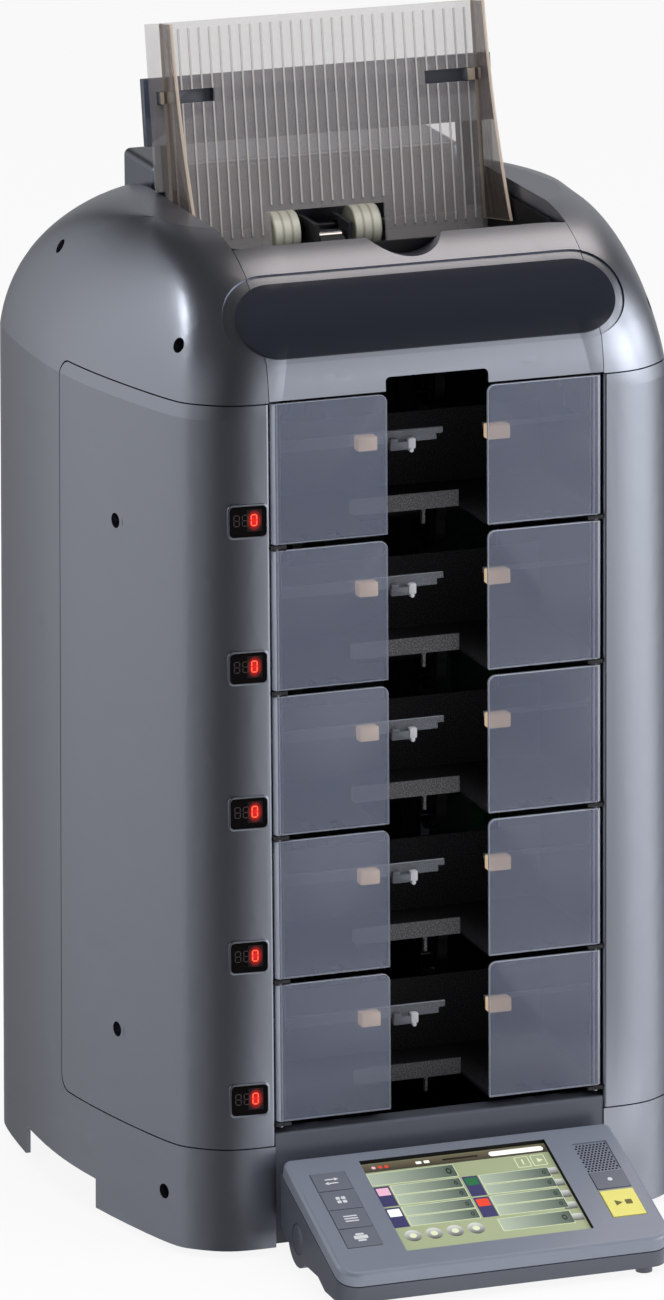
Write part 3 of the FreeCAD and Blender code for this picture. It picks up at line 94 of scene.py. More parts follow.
class SorterView(bpy.types.PropertyGroup):
    """Where the camera stands"""

    azimuth: FloatProperty(
        name="Azimuth", description="Turn of the view to the machine's left",
        default=math.radians(19.37), subtype="ANGLE",
    )
    elevation: FloatProperty(
        name="Elevation", description="Height of the view above the horizon",
        default=math.radians(15.25), subtype="ANGLE",
    )
    roll: FloatProperty(
        name="Roll", description="Lean of the camera about its own line of sight",
        default=math.radians(-0.42), subtype="ANGLE",
    )
    distance: FloatProperty(
        name="Distance", description="From the camera to the lower seam's middle",
        default=5.549, unit="LENGTH",
    )
    across: FloatProperty(
        name="Across", description="How far the lower seam's middle lies right of the line of sight",
        default=0.064, unit="LENGTH",
    )
    below: FloatProperty(
        name="Below", description="How far the lower seam's middle lies below the line of sight",
        default=0.2813, unit="LENGTH",
    )
    lens: FloatProperty(
        name="Lens", description="Focal length on a 36 mm high sensor, in millimetres", default=260.86
    )


def colour_setting(name, description, code):
    """A colour that a user can pick."""
    return FloatVectorProperty(
        name=name, description=description, size=3, subtype="COLOR", default=linear(code)
    )


class SorterColours(bpy.types.PropertyGroup):
    """Colours of the finishes"""

    casing: colour_setting("Casing", "Grey metallic paint of the housing", "#a7acb8")
    # the casing's paint, darkened as painted shade for the housing behind the hopper plate
    rear: colour_setting("Rear housing", "Metallic paint of the housing behind the hopper plate", "#787d8a")
    panel: colour_setting("Operator panel", "Darker paint of the panel's case and the sill", "#60646f")
    bezel: colour_setting("Bezel", "Paler paint round the screen", "#9399a8")
    badge: colour_setting("Badge", "Dark gloss panel on the front cover", "#24262f")
    door: colour_setting("Doors", "Blue-grey tint of the pocket doors", "#848a9f")
    hopper: colour_setting("Hopper plate", "Smoky tint of the leaning plate", "#c5bfbe")
    start: colour_setting("Start key", "Yellow of the start and stop key", "#f3ea80")
    screen: colour_setting("Screen", "Olive ground of the lit screen", "#a0a986")


def view_settings():
    """The camera's settings of this scene."""
    return bpy.context.scene.sorter_view


def colours():
    """The colours of this scene."""
    return bpy.context.scene.sorter_colours


# Materials


def add(tree, kind, settings=None, links=None):
    """Add a node, set its sockets or properties by name, and link sockets from other nodes."""
    node = tree.nodes.new(kind)
    for key, value in (settings or {}).items():
        if isinstance(key, int) or key in node.inputs:
            node.inputs[key].default_value = value
        else:
            setattr(node, key, value)
    for key, source in (links or {}).items():
        tree.links.new(source, node.inputs[key])
    return node


def surface(name, colour, **settings):
    """A new material with one Principled surface, and the tree and shader to build on."""
    material = bpy.data.materials.new(name)
    material.use_nodes = True
    tree = material.node_tree
    shader = tree.nodes["Principled BSDF"]
    shader.inputs["Base Color"].default_value = (*colour, 1.0)
    sockets = {key.lower().replace(" ", "_"): key for key in shader.inputs.keys()}
    for key, value in settings.items():
        shader.inputs[sockets[key]].default_value = value
    material.diffuse_color = (*colour, 1.0)
    return material, tree, shader


def plain(name, colour, **settings):
    """A finish of one even colour."""
    return surface(name, colour, **settings)[0]


def polycarbonate(name, colour, roughness, alpha):
    """Clear, dyed or smoked sheet that is seen through by its alpha."""
    return plain(name, colour, roughness=roughness, ior=1.58, alpha=alpha)


def noise_over(tree, size_mm, detail):
    """Noise with features of a size, fixed to the piece."""
    place = add(tree, "ShaderNodeTexCoord")
    settings = {"Scale": 1 / (size_mm * MM), "Detail": detail}
    return add(tree, "ShaderNodeTexNoise", settings, {"Vector": place.outputs["Object"]})


def moulded_rubber(name, colour):
    """Dull rubber with a fine moulded grain."""
    material, tree, shader = surface(name, colour, roughness=0.75)
    grain_mm, height_mm = 0.8, 0.1
    noise = noise_over(tree, grain_mm, 2.0)
    settings = {"Strength": 0.3, "Distance": height_mm * MM}
    bump = add(tree, "ShaderNodeBump", settings, {"Height": noise.outputs["Fac"]})
    tree.links.new(bump.outputs["Normal"], shader.inputs["Normal"])
    return material


def metallic_paint(name, colour, flake_share):
    """Metallic satin paint on moulded ABS: a soft sheen with the faint sparkle of flake."""
    material, tree, shader = surface(
        name, colour, metallic=flake_share, ior=1.5, coat_weight=0.12, coat_roughness=0.2
    )
    # flake is far finer than this, drawn coarse enough to show
    flake_mm = 0.9
    noise = noise_over(tree, flake_mm, 1.0)
    gloss = add(
        tree, "ShaderNodeMapRange", {"To Min": 0.31, "To Max": 0.38}, {"Value": noise.outputs["Fac"]}
    )
    tree.links.new(gloss.outputs["Result"], shader.inputs["Roughness"])
    return material


def spark_grained(name, ground, speck):
    """Spark-eroded ABS: matte, with a fine grain that catches light as specks."""
    material, tree, shader = surface(name, ground, roughness=0.6, ior=1.5, specular_ior_level=0.3)
    grain_mm = 0.8
    noise = noise_over(tree, grain_mm, 2.0)
    specks = add(tree, "ShaderNodeValToRGB", {}, {"Fac": noise.outputs["Fac"]})
    specks.color_ramp.elements[0].position = 0.45
    specks.color_ramp.elements[0].color = (*ground, 1)
    specks.color_ramp.elements[1].position = 0.75
    specks.color_ramp.elements[1].color = (*speck, 1)
    tree.links.new(specks.outputs["Color"], shader.inputs["Base Color"])
    return material


def ringed(name, crest, groove_shade):
    """Cast polyurethane tyre with fine grooves round the X axis, their shade painted as darker rings."""
    material, tree, shader = surface(name, crest, roughness=0.5, ior=1.5)
    place = add(tree, "ShaderNodeTexCoord")
    pitch_mm = 5.6
    settings = {"wave_type": "BANDS", "bands_direction": "X", "Scale": math.pi / (10 * pitch_mm * MM)}
    rings = add(tree, "ShaderNodeTexWave", settings, {"Vector": place.outputs["Object"]})
    tint = add(tree, "ShaderNodeValToRGB", {}, {"Fac": rings.outputs["Fac"]})
    tint.color_ramp.elements[0].color = (*groove_shade, 1)
    tint.color_ramp.elements[1].position = 0.35
    tint.color_ramp.elements[1].color = (*crest, 1)
    tree.links.new(tint.outputs["Color"], shader.inputs["Base Color"])
    return material


def glowing(name, colour, strength, **settings):
    """A surface that gives light of its own colour."""
    material, _tree, shader = surface(name, colour, emission_strength=strength, **settings)
    shader.inputs["Emission Color"].default_value = (*colour, 1.0)
    return material


def shaded_by_tone(name, bright, dark, strength):
    """Part of a lit picture that runs from bright to dark along its pieces' own tone."""
    material, tree, shader = surface(name, bright, roughness=0.3, emission_strength=strength)
    tone = add(tree, "ShaderNodeAttribute", {"attribute_name": "tone"})
    mix = add(tree, "ShaderNodeMix", {"data_type": "RGBA"}, {0: tone.outputs["Fac"]})
    # a mix of colours has its two colours at sockets 6 and 7, and the result at output 2
    mix.inputs[6].default_value = (*dark, 1.0)
    mix.inputs[7].default_value = (*bright, 1.0)
    for socket in ("Base Color", "Emission Color"):
        tree.links.new(mix.outputs[2], shader.inputs[socket])
    return material


def make_materials():
    """Every finish of the machine by name."""
    kit = {
        "casing": metallic_paint("metallic_paint_on_abs", colours().casing, 1.0),
        # the same paint as the casing, darker, paints the shade on the housing behind the hopper plate
        "rear": metallic_paint("metallic_paint_on_abs_in_painted_shade", colours().rear, 1.0),
        "panel": metallic_paint("dark_metallic_paint_on_abs", colours().panel, 0.3),
        "bezel": metallic_paint("lean_metallic_paint_on_abs", colours().bezel, 0.3),
        "black": spark_grained("spark_grained_black_abs", linear("#212123"), linear("#525256")),
        "lip": spark_grained("spark_grained_grey_abs", linear("#58585a"), linear("#a0a0a2")),
    }
    # gloss-painted acrylic badge: dark, with a clear reflection
    kit["badge"] = plain("gloss_acrylic", colours().badge, roughness=0.16, ior=1.49)
    # dyed doors: thin, milky blue-grey, with a painted highlight on their cut edges
    kit["door"] = polycarbonate("tinted_polycarbonate", colours().door, 0.16, 0.42)
    kit["edge_highlight"] = polycarbonate("painted_edge_highlight_on_polycarbonate", linear("#c3c8d6"), 0.2, 0.8)
    # smoked hopper plate: see-through, warm grey, with paler ribs
    kit["hopper"] = polycarbonate("smoked_polycarbonate", colours().hopper, 0.18, 0.31)
    kit["rib"] = polycarbonate("rib_of_smoked_polycarbonate", linear("#d2cbc8"), 0.18, 0.9)
    # clear arms over the pockets
    kit["clear"] = polycarbonate("clear_polycarbonate", linear("#8a8e96"), 0.1, 0.4)
    # note guides in the same smoke as the plate but thicker, with a painted highlight on the rim where
    # light leaves it
    kit["fin"] = polycarbonate("thick_smoked_polycarbonate", linear("#65584f"), 0.1, 0.55)
    kit["fin_edge_highlight"] = plain("painted_edge_highlight_on_smoked_polycarbonate", linear("#cbb9a8"), roughness=0.2, alpha=0.85)
    # rail behind the plate, a darker blue-grey smoke, and the guides' sliders
    kit["rail"] = polycarbonate("blue_smoked_polycarbonate", linear("#4a5064"), 0.2, 0.85)
    kit["slider"] = plain("grey_acetal_slider", linear("#7c7e86"), roughness=0.4)
    # amber sensor lenses cast in epoxy, given a painted glow for the light that passes through them
    kit["amber"] = glowing("amber_epoxy_with_painted_glow", linear("#e2c4a4"), 0.6, roughness=0.25)
    # dark red acrylic over the counter digits
    kit["window"] = plain("dark_red_acrylic", linear("#0c0809"), roughness=0.12, ior=1.49)
    kit["lit"] = glowing("lit_red_segment", linear("#ff4a30"), 2.2, roughness=0.4)
    kit["unlit"] = plain("unlit_segment", linear("#3c3431"), roughness=0.4)
    kit["glow"] = shaded_by_tone("red_light_in_acrylic", linear("#c8120c"), linear("#0c0809"), 0.8)
    # cream polyurethane tyres, dull and slightly dusty, with painted shade in their grooves
    kit["cream"] = ringed("cream_polyurethane_with_painted_groove_shade", linear("#d8d5c5"), linear("#a9a796"))
    # metals
    kit["chrome"] = plain("chromed_steel", linear("#d8d9db"), metallic=1.0, roughness=0.08)
    kit["steel"] = plain("drawn_steel", linear("#a6a7aa"), metallic=1.0, roughness=0.32)
    kit["dark_steel"] = plain("blackened_steel", linear("#3a3b3e"), metallic=1.0, roughness=0.4)
    kit["tin"] = plain("zinc_plated_sheet", linear("#b9bbbd"), metallic=1.0, roughness=0.38)
    # dull blacks of the inside and underneath
    kit["sheet"] = plain("black_painted_sheet", linear("#161618"), roughness=0.5, specular_ior_level=0.3)
    kit["rubber"] = moulded_rubber("moulded_rubber", linear("#1a1a1b"))
    kit["well"] = plain("matte_black_abs", linear("#0e0e10"), roughness=0.55, specular_ior_level=0.3)
    kit["wheel"] = plain("black_polyurethane", linear("#1c1c1e"), roughness=0.55)
    kit["motor"] = plain("satin_black_enamel", linear("#27272a"), roughness=0.4)
    kit["board"] = plain("green_solder_mask", linear("#1c5c33"), roughness=0.35)
    # keys, their printed marks and the speaker's cloth, whose black also paints the shade on the walls
    # round the screen
    kit["key"] = plain("satin_key_abs", linear("#70747f"), roughness=0.35, ior=1.5)
    kit["mark"] = plain("pad_printed_white", linear("#e6e7ea"), roughness=0.5)
    kit["start"] = plain("yellow_key_abs", colours().start, roughness=0.35, ior=1.5)
    kit["dark_mark"] = plain("pad_printed_olive", linear("#6f6a3c"), roughness=0.5)
    kit["hole"] = plain("black_mesh_cloth_and_painted_shade", linear("#0d0d0e"), roughness=0.9)
    # clips of the arms
    kit["clip"] = plain("white_acetal", linear("#c9cbd0"), roughness=0.35)
    kit["bracket"] = plain("grey_acetal", linear("#5d6068"), roughness=0.4)
    # the lit picture behind the satin glass of the touchscreen
    kit["screen"] = glowing("screen_ground", colours().screen, 0.3, roughness=0.25)
    kit["screen_title"] = shaded_by_tone("screen_title", linear("#6d6550"), linear("#3f3a33"), 0.35)
    kit["screen_field"] = shaded_by_tone("screen_field", linear("#aab5a2"), linear("#4c5a52"), 0.34)
    kit["screen_button"] = shaded_by_tone("screen_button", linear("#c9cbc6"), linear("#4b4d4a"), 0.4)
    inks = (
        ("screen_line", "screen_pale_line", "#d3dab8", 0.35),
        ("screen_dark", "screen_dark_ink", "#23261f", 0.3),
        ("screen_navy", "screen_navy", "#3e3c62", 0.4),
        ("chip_mauve", "chip_mauve", "#d9a9bb", 0.5),
        ("chip_pale", "chip_pale", "#eceee8", 0.5),
        ("chip_green", "chip_green", "#2f6b45", 0.4),
        ("chip_red", "chip_red", "#d8432f", 0.5),
    )
    for finish, name, code, strength in inks:
        kit[finish] = glowing(name, linear(code), strength, roughness=0.3)
    return kit


# Filled by main once the settings are registered
KIT = {}


# Working by hand: selection, primitives and joining


def deselect():
    """Leave edit mode and select nothing."""
    if bpy.context.object and bpy.context.object.mode != "OBJECT":
        bpy.ops.object.mode_set(mode="OBJECT")
    bpy.ops.object.select_all(action="DESELECT")


def take(*objects):
    """Make these the only selected objects, the first one active."""
    deselect()
    for thing in objects:
        thing.select_set(True)
    bpy.context.view_layer.objects.active = objects[0]


def apply_place(thing):
    """Put a piece's place into its mesh, so that its object stays at the origin."""
    take(thing)
    bpy.ops.object.transform_apply(location=True, rotation=True, scale=True)


def paint(thing, finish):
    """Give the whole of a piece one finish."""
    thing.data.materials.clear()
    thing.data.materials.append(KIT[finish])


def settle(thing, name, finish, body):
    """Name, smooth, paint and attach a finished piece."""
    apply_place(thing)
    bpy.ops.object.shade_smooth_by_angle(angle=SMOOTH_ANGLE)
    thing.name = name
    thing.data.name = name
    paint(thing, finish)
    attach(thing, body)


def ease_edges(thing, bevel_mm):
    """Weld a copied CAD mesh, merge its flat faces and round its sharp edges."""
    weld, flat = 2e-6, math.radians(0.05)
    bpy.ops.mesh.customdata_custom_splitnormals_clear()
    bpy.ops.object.mode_set(mode="EDIT")
    bpy.ops.mesh.select_all(action="SELECT")
    bpy.ops.mesh.remove_doubles(threshold=weld)
    bpy.ops.mesh.dissolve_limited(angle_limit=flat)
    bpy.ops.object.mode_set(mode="OBJECT")
    bevel = thing.modifiers.new("edge", "BEVEL")
    bevel.width = bevel_mm * MM
    bevel.segments = 2
    bevel.limit_method = "ANGLE"
    bevel.angle_limit = EDGE_ANGLE
    bpy.ops.object.modifier_apply(modifier=bevel.name)
    bpy.ops.object.shade_smooth_by_angle(angle=EDGE_ANGLE)


def dress(node, finish, bevel_mm=0.0, accents=()):
    """Paint a CAD node, or a copy that stands for it where edges are eased or some faces differ.

    An accent is a finish and a test of a face's middle in millimetres and the way it faces.
    """
    source = frame["nodes"][node]
    if not bevel_mm and not accents:
        paint(source, finish)
        return
    body = body_of(source)[0]
    take(source)
    bpy.ops.object.duplicate()
    copy = bpy.context.object
    if bevel_mm:
        ease_edges(copy, bevel_mm)
    copy.name = node + "_dressed"
    paint(copy, finish)
    for index, (accent, chosen) in enumerate(accents, 1):
        copy.data.materials.append(KIT[accent])
        for polygon in copy.data.polygons:
            if chosen(polygon.center / MM, polygon.normal):
                polygon.material_index = index
    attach(copy, body)
    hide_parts(node)


def select_edges(thing, chosen):
    """Select the edges whose two ends pass a test, in edge mode."""
    take(thing)
    mesh = thing.data
    for polygon in mesh.polygons:
        polygon.select = False
    for vertex in mesh.vertices:
        vertex.select = False
    for edge in mesh.edges:
        edge.select = chosen(*(mesh.vertices[i].co for i in edge.vertices))
    bpy.ops.object.mode_set(mode="EDIT")
    bpy.ops.mesh.select_mode(type="EDGE")


def is_upright(a, b):
    """Whether an edge between two points stands upright."""
    return abs(a.x - b.x) < TINY and abs(a.y - b.y) < TINY


def block(width, depth, height, round_mm=0.0, edge_mm=0.0, segments=4):
    """A block about the origin in millimetres, its upright edges rounded and its top rim eased."""
    deselect()
    bpy.ops.mesh.primitive_cube_add(size=1)
    thing = bpy.context.object
    thing.scale = (width * MM, depth * MM, height * MM)
    apply_place(thing)
    if round_mm:
        select_edges(thing, is_upright)
        bpy.ops.mesh.bevel(offset=round_mm * MM, segments=segments, affect="EDGES")
        bpy.ops.object.mode_set(mode="OBJECT")
    if edge_mm:
        ease_rim(thing, height / 2, edge_mm)
    return thing


def ease_rim(thing, top_mm, edge_mm):
    """Round the edges that lie on the top face."""
    top = top_mm * MM
    select_edges(thing, lambda a, b: abs(a.z - top) < TINY and abs(b.z - top) < TINY)
    bpy.ops.mesh.bevel(offset=edge_mm * MM, segments=2, affect="EDGES")
    bpy.ops.object.mode_set(mode="OBJECT")


def disc(radius, height, sides, edge_mm=0.0):
    """A round plate about the origin in millimetres, its top rim eased."""
    deselect()
    bpy.ops.mesh.primitive_cylinder_add(vertices=sides, radius=radius * MM, depth=height * MM)
    thing = bpy.context.object
    if edge_mm:
        ease_rim(thing, height / 2, edge_mm)
    return thing


def arrow_head(radius, height):
    """A flat triangle that points along X, its corners eased."""
    thing = disc(radius, height, 3)
    thing.rotation_euler.z = math.radians(-90)
    apply_place(thing)
    corner_mm = 0.12
    select_edges(thing, is_upright)
    bpy.ops.mesh.bevel(offset=corner_mm * MM, segments=2, affect="EDGES")
    bpy.ops.object.mode_set(mode="OBJECT")
    return thing


def hollowed(thing, rim_mm, depth_mm):
    """Sink the top face of a piece inside a rim."""
    take(thing)
    bpy.ops.object.mode_set(mode="EDIT")
    bpy.ops.mesh.select_mode(type="FACE")
    bpy.ops.mesh.select_all(action="DESELECT")
    bpy.ops.object.mode_set(mode="OBJECT")
    top = max(polygon.center.z for polygon in thing.data.polygons)
    for polygon in thing.data.polygons:
        polygon.select = polygon.center.z > top - TINY and polygon.normal.z > 0.9
    bpy.ops.object.mode_set(mode="EDIT")
    bpy.ops.mesh.inset(thickness=rim_mm * MM)
    bpy.ops.transform.translate(value=(0, 0, -depth_mm * MM))
    bpy.ops.object.mode_set(mode="OBJECT")
    return thing


def carve(thing, cutter):
    """Cut one piece out of another and throw the cutter away."""
    carving = thing.modifiers.new("carving", "BOOLEAN")
    carving.operation = "DIFFERENCE"
    carving.solver = "EXACT"
    carving.object = cutter
    take(thing)
    bpy.ops.object.modifier_apply(modifier=carving.name)
    discard(cutter)
    return thing


def toned(thing, tone_at):
    """Give each point of a piece a tone between 0 and 1 from its place on the piece."""
    tones = thing.data.attributes.new("tone", "FLOAT", "POINT")
    for vertex, value in zip(thing.data.vertices, tones.data):
        value.value = tone_at(vertex.co)
    return thing


def join(pieces):
    """Make one mesh of several pieces."""
    take(*pieces)
    if len(pieces) > 1:
        bpy.ops.object.join()
    return bpy.context.object


def seat(thing, axes, x_mm, up_mm, out_mm, turn=0.0):
    """Place a piece on a face's own axes: across, up it and out of it, turned in its plane."""
    spot = Matrix.Translation((x_mm * MM, up_mm * MM, out_mm * MM))
    thing.matrix_world = axes @ spot @ Matrix.Rotation(math.radians(turn), 4, "Z") @ thing.matrix_world
    apply_place(thing)
    return thing


def repeat(model, axes, places):
    """Copies of one modelled piece at places (across, up, out, turn) on a face."""
    copies = []
    for place in places:
        take(model)
        bpy.ops.object.duplicate()
        copies.append(seat(bpy.context.object, axes, *place))
    return copies


def discard(*models):
    """Throw away the models that copies were made from."""
    for model in models:
        bpy.data.objects.remove(model)


# Axes of the faces that small fittings sit on

FRONT_PLANE = -106.0
SEAM_HEIGHT = 66.0
# foot of the hopper plate, its lean in degrees and the pickup roller's axis behind it
PLATE_FOOT = Vector((0, FRONT_PLANE + 186, 566))
PLATE_LEAN = 9.4
PICKUP_AXIS = Vector((0, FRONT_PLANE + 200, 566))
# top edge of the operator panel's face and its slope in degrees
PANEL_EDGE = Vector((0, FRONT_PLANE - 10.0, 61.0))
PANEL_SLOPE = 19.5
PANEL_AXES = Matrix.Translation(PANEL_EDGE * MM) @ Matrix.Rotation(math.radians(PANEL_SLOPE), 4, "X")


def pocket_bottom(k):
    """Bottom of the doors of pocket k in millimetres, counted from the lowest."""
    lowest, pitch = 81.0, 87.2
    return lowest + pitch * k


def counter_axes(k):
    """Axes of the counter window beside pocket k: across, up and out of its face."""
    # each window sits a little further in than the one below
    across, up = -118.6 + 0.6 * k, pocket_bottom(k) + 15.5
    place = Vector((across, FRONT_PLANE + 0.6, up)) * MM
    turned = Matrix.Rotation(math.radians(-5), 4, "Z") @ Matrix.Rotation(math.radians(90), 4, "X")
    return Matrix.Translation(place) @ turned


def facing_axes(spot, away):
    """Axes at a spot of a face that looks one way."""
    turned = Vector(away).to_track_quat("Z", "Y").to_matrix().to_4x4()
    return Matrix.Translation(Vector(spot) * MM) @ turned


# Steps: the stage, then each group of pieces


class SORTER_OT_stage(bpy.types.Operator):
    """Set the floor, the soft lights, the white surround and the camera"""

    bl_idname = "sorter.stage"
    bl_label = "Stage"

    def execute(self, context):
        scene = context.scene
        scene.view_settings.view_transform = "Standard"
        self.floor()
        self.surround(scene)
        # place and size in metres, power in watts
        self.lamp("left_softbox", (-2.18, 0.96, 1.82), (0.5, 0.6), 8.0)
        self.lamp("right_softbox", (2.2, -0.5, 1.3), (0.9, 1.2), 5.0)
        self.lamp("front_softbox", (1.9, -1.9, 1.2), (1.4, 1.4), 12.0)
        self.lamp("top_softbox", (1.1, 0.65, 2.65), (1.0, 1.8), 10.0, "#fff1e4")
        # an even light from above, left out of the gloss so that the paint mirrors no lamp
        overhead = self.lamp("overhead_softbox", (0.2, -0.7, 2.8), (1.8, 1.8), 40.0)
        overhead.visible_glossy = False
        self.camera(scene)
        return {"FINISHED"}

    def floor(self):
        """White floor just below the feet, so that it and they don't share a plane."""
        deselect()
        bpy.ops.mesh.primitive_plane_add(size=12, location=(0, 0, -0.5 * MM))
        floor = bpy.context.object
        floor.name = "studio_floor"
        material, tree, shader = surface("matte_white_floor", linear("#f4f4f4"), roughness=0.9)
        floor.data.materials.append(material)
        path = add(tree, "ShaderNodeLightPath")

        def mixed(share, one, other):
            links = {"Fac": share, 1: one.outputs[0], 2: other.outputs[0]}
            return add(tree, "ShaderNodeMixShader", {}, links)

        # the camera sees nine parts of white and one of the lit floor, which keeps the shadow
        white = add(tree, "ShaderNodeEmission", {"Color": (1, 1, 1, 1), "Strength": 1.0})
        share = {"operation": "MULTIPLY", 1: 0.9}
        seen = add(tree, "ShaderNodeMath", share, {0: path.outputs["Is Camera Ray"]})
        lit = mixed(seen.outputs[0], shader, white)
        # what shines in the paint is an oval of floor close in front, and the room beyond it;
        # the oval is round in a squeezed frame
        squeeze, middle, rim, core = (0.55, 1.3, 1), (0.044, -0.33, 0), 0.14, 0.07
        place = add(tree, "ShaderNodeNewGeometry")
        squeezed = add(
            tree, "ShaderNodeVectorMath", {"operation": "MULTIPLY", 1: squeeze},
            {0: place.outputs["Position"]},
        )
        apart = add(
            tree, "ShaderNodeVectorMath", {"operation": "DISTANCE", 1: middle},
            {0: squeezed.outputs["Vector"]},
        )
        near = add(
            tree, "ShaderNodeMapRange",
            {"interpolation_type": "SMOOTHSTEP", "From Min": rim, "From Max": core},
            {"Value": apart.outputs["Value"]},
        )
        close = mixed(near.outputs[0], add(tree, "ShaderNodeBsdfTransparent"), white)
        shown = mixed(path.outputs["Is Glossy Ray"], lit, close)
        tree.links.new(shown.outputs[0], tree.nodes["Material Output"].inputs["Surface"])

    def surround(self, scene):
        """White behind the machine, the room that shines in its paint, and a low plain fill."""
        world = bpy.data.worlds.new("white_surround")
        scene.world = world
        world.use_nodes = True
        tree = world.node_tree
        fill = tree.nodes["Background"]
        fill.inputs["Color"].default_value = (*linear("#e8ecf2"), 1)
        fill.inputs["Strength"].default_value = 0.45
        white = add(tree, "ShaderNodeBackground", {"Color": (1, 1, 1, 1), "Strength": 1.0})
        room = self.room(tree)
        mirrored = add(
            tree, "ShaderNodeBackground", {"Color": (1, 1, 1, 1)}, {"Strength": room.outputs[0]}
        )
        path = add(tree, "ShaderNodeLightPath")
        in_gloss = add(
            tree, "ShaderNodeMixShader", {},
            {"Fac": path.outputs["Is Glossy Ray"], 1: fill.outputs[0], 2: mirrored.outputs[0]},
        )
        seen = add(
            tree, "ShaderNodeMath", {"operation": "MAXIMUM"},
            {0: path.outputs["Is Camera Ray"], 1: path.outputs["Is Transmission Ray"]},
        )
        mix = add(
            tree, "ShaderNodeMixShader", {},
            {"Fac": seen.outputs[0], 1: in_gloss.outputs[0], 2: white.outputs[0]},
        )
        tree.links.new(mix.outputs[0], tree.nodes["World Output"].inputs["Surface"])

    def room(self, tree):
        """Brightness of the room all round, as the paint mirrors it."""
        way = add(tree, "ShaderNodeTexCoord")

        def towards(axis, start, end, low, high):
            """Smooth rise from low to high as the way turns towards an axis."""
            settings = {"operation": "DOT_PRODUCT", 1: axis}
            share = add(tree, "ShaderNodeVectorMath", settings, {0: way.outputs["Generated"]})
            settings = {"interpolation_type": "SMOOTHSTEP", "From Min": start, "From Max": end}
            settings.update({"To Min": low, "To Max": high})
            return add(tree, "ShaderNodeMapRange", settings, {"Value": share.outputs["Value"]})

        def joined(operation, one, other):
            links = {0: one.outputs[0], 1: other.outputs[0]}
            return add(tree, "ShaderNodeMath", {"operation": operation}, links)

        # window to the front right and pale sweep on the left, in a band round the horizon
        window = towards((0.85, -0.53, 0), 0.65, 0.92, 0.0, 1.65)
        sweep = towards((-0.92, 0.39, 0), 0.38, 0.88, 0.0, 0.6)
        above = towards((0, 0, 1), 0.18, 0.55, 1.0, 0.0)
        below = towards((0, 0, 1), -0.4, -0.2, 0.0, 1.0)
        band = joined("MULTIPLY", above, below)
        back_wall = towards((0.5, 0.87, 0), 0.72, 0.97, 0.05, 0.4)
        ground = towards((0, 0, -1), 0.42, 0.66, 0.0, 0.45)
        walls = joined("MULTIPLY", joined("ADD", window, sweep), band)
        return joined("ADD", walls, joined("ADD", back_wall, ground))

    def lamp(self, name, place, size, power, colour="#ffffff"):
        """Soft light that looks at the middle of the machine."""
        middle = Vector((0, 0, 0.35))
        data = bpy.data.lights.new(name, "AREA")
        data.color = linear(colour)
        data.shape = "RECTANGLE"
        data.size, data.size_y = size
        data.energy = power
        light = bpy.data.objects.new(name, data)
        bpy.context.scene.collection.objects.link(light)
        light.location = place
        aim = middle - Vector(place)
        light.rotation_euler = aim.to_track_quat("-Z", "Y").to_euler()
        return light

    def camera(self, scene):
        """Camera where the settings put it, from the middle of the lower seam."""
        view = view_settings()
        turn, rise = view.azimuth, view.elevation
        right = Vector((math.cos(turn), -math.sin(turn), 0))
        ahead = Vector((math.sin(turn) * math.cos(rise), math.cos(turn) * math.cos(rise), -math.sin(rise)))
        up = right.cross(ahead)
        lean_c, lean_s = math.cos(view.roll), math.sin(view.roll)
        right, up = right * lean_c + up * lean_s, up * lean_c - right * lean_s
        seam_middle = Vector((0, FRONT_PLANE, SEAM_HEIGHT)) * MM
        place = seam_middle - right * view.across + up * view.below - ahead * view.distance
        data = bpy.data.cameras.new("photo_view")
        data.sensor_fit = "VERTICAL"
        data.sensor_height = 36.0
        data.lens = view.lens
        data.clip_end = 50.0
        camera = bpy.data.objects.new("photo_view", data)
        scene.collection.objects.link(camera)
        turned = Matrix((right, up, -ahead)).transposed().to_4x4()
        camera.matrix_world = Matrix.Translation(place) @ turned
        scene.camera = camera


class SORTER_OT_housing(bpy.types.Operator):
    """Paint the casings, side panels, covers and badge"""

    bl_idname = "sorter.housing"
    bl_label = "Housing"

    def execute(self, context):
        for hand in ("left", "right"):
            dress(hand + "_casing", "casing")
            dress(hand + "_side_panel", "casing")
        for node in ("front_top_cover", "rear_cover"):
            dress(node, "casing")
        dress("badge_panel", "badge")
        dress("front_sill", "panel")
        self.screws()
        return {"FINISHED"}

    def screws(self):
        """One pan-head screw with a cross, copied into the ten holes of the housing."""
        # holes of the right half, with y from the front plane, and the ways they face
        spots = (
            ((159, 213, 566), (0.86, 0.03, 0.51)),
            ((145, 36, 544), (0.87, -0.34, 0.36)),
            ((161, 34, 35), (0.95, -0.31, 0.01)),
            ((169.3, 83, 431), (0.975, -0.223, 0)),
            ((172.8, 82, 122), (0.975, -0.223, 0)),
        )
        sunk, turn = -6.0, 20
        head_height = 2.4
        head = disc(3.6, head_height, 24, 0.7)
        for cut in (block(4.2, 0.9, 2.0), block(0.9, 4.2, 2.0)):
            carve(head, seat(cut, Matrix.Identity(4), 0, 0, head_height / 2))
        heads = []
        for side in (-1, 1):
            for (x, y, z), away in spots:
                axes = facing_axes((side * x, y + FRONT_PLANE, z), (side * away[0], away[1], away[2]))
                heads += repeat(head, axes, [(0, 0, sunk, turn)])
        discard(head)
        settle(join(heads), "housing_screws", "dark_steel", "chassis")


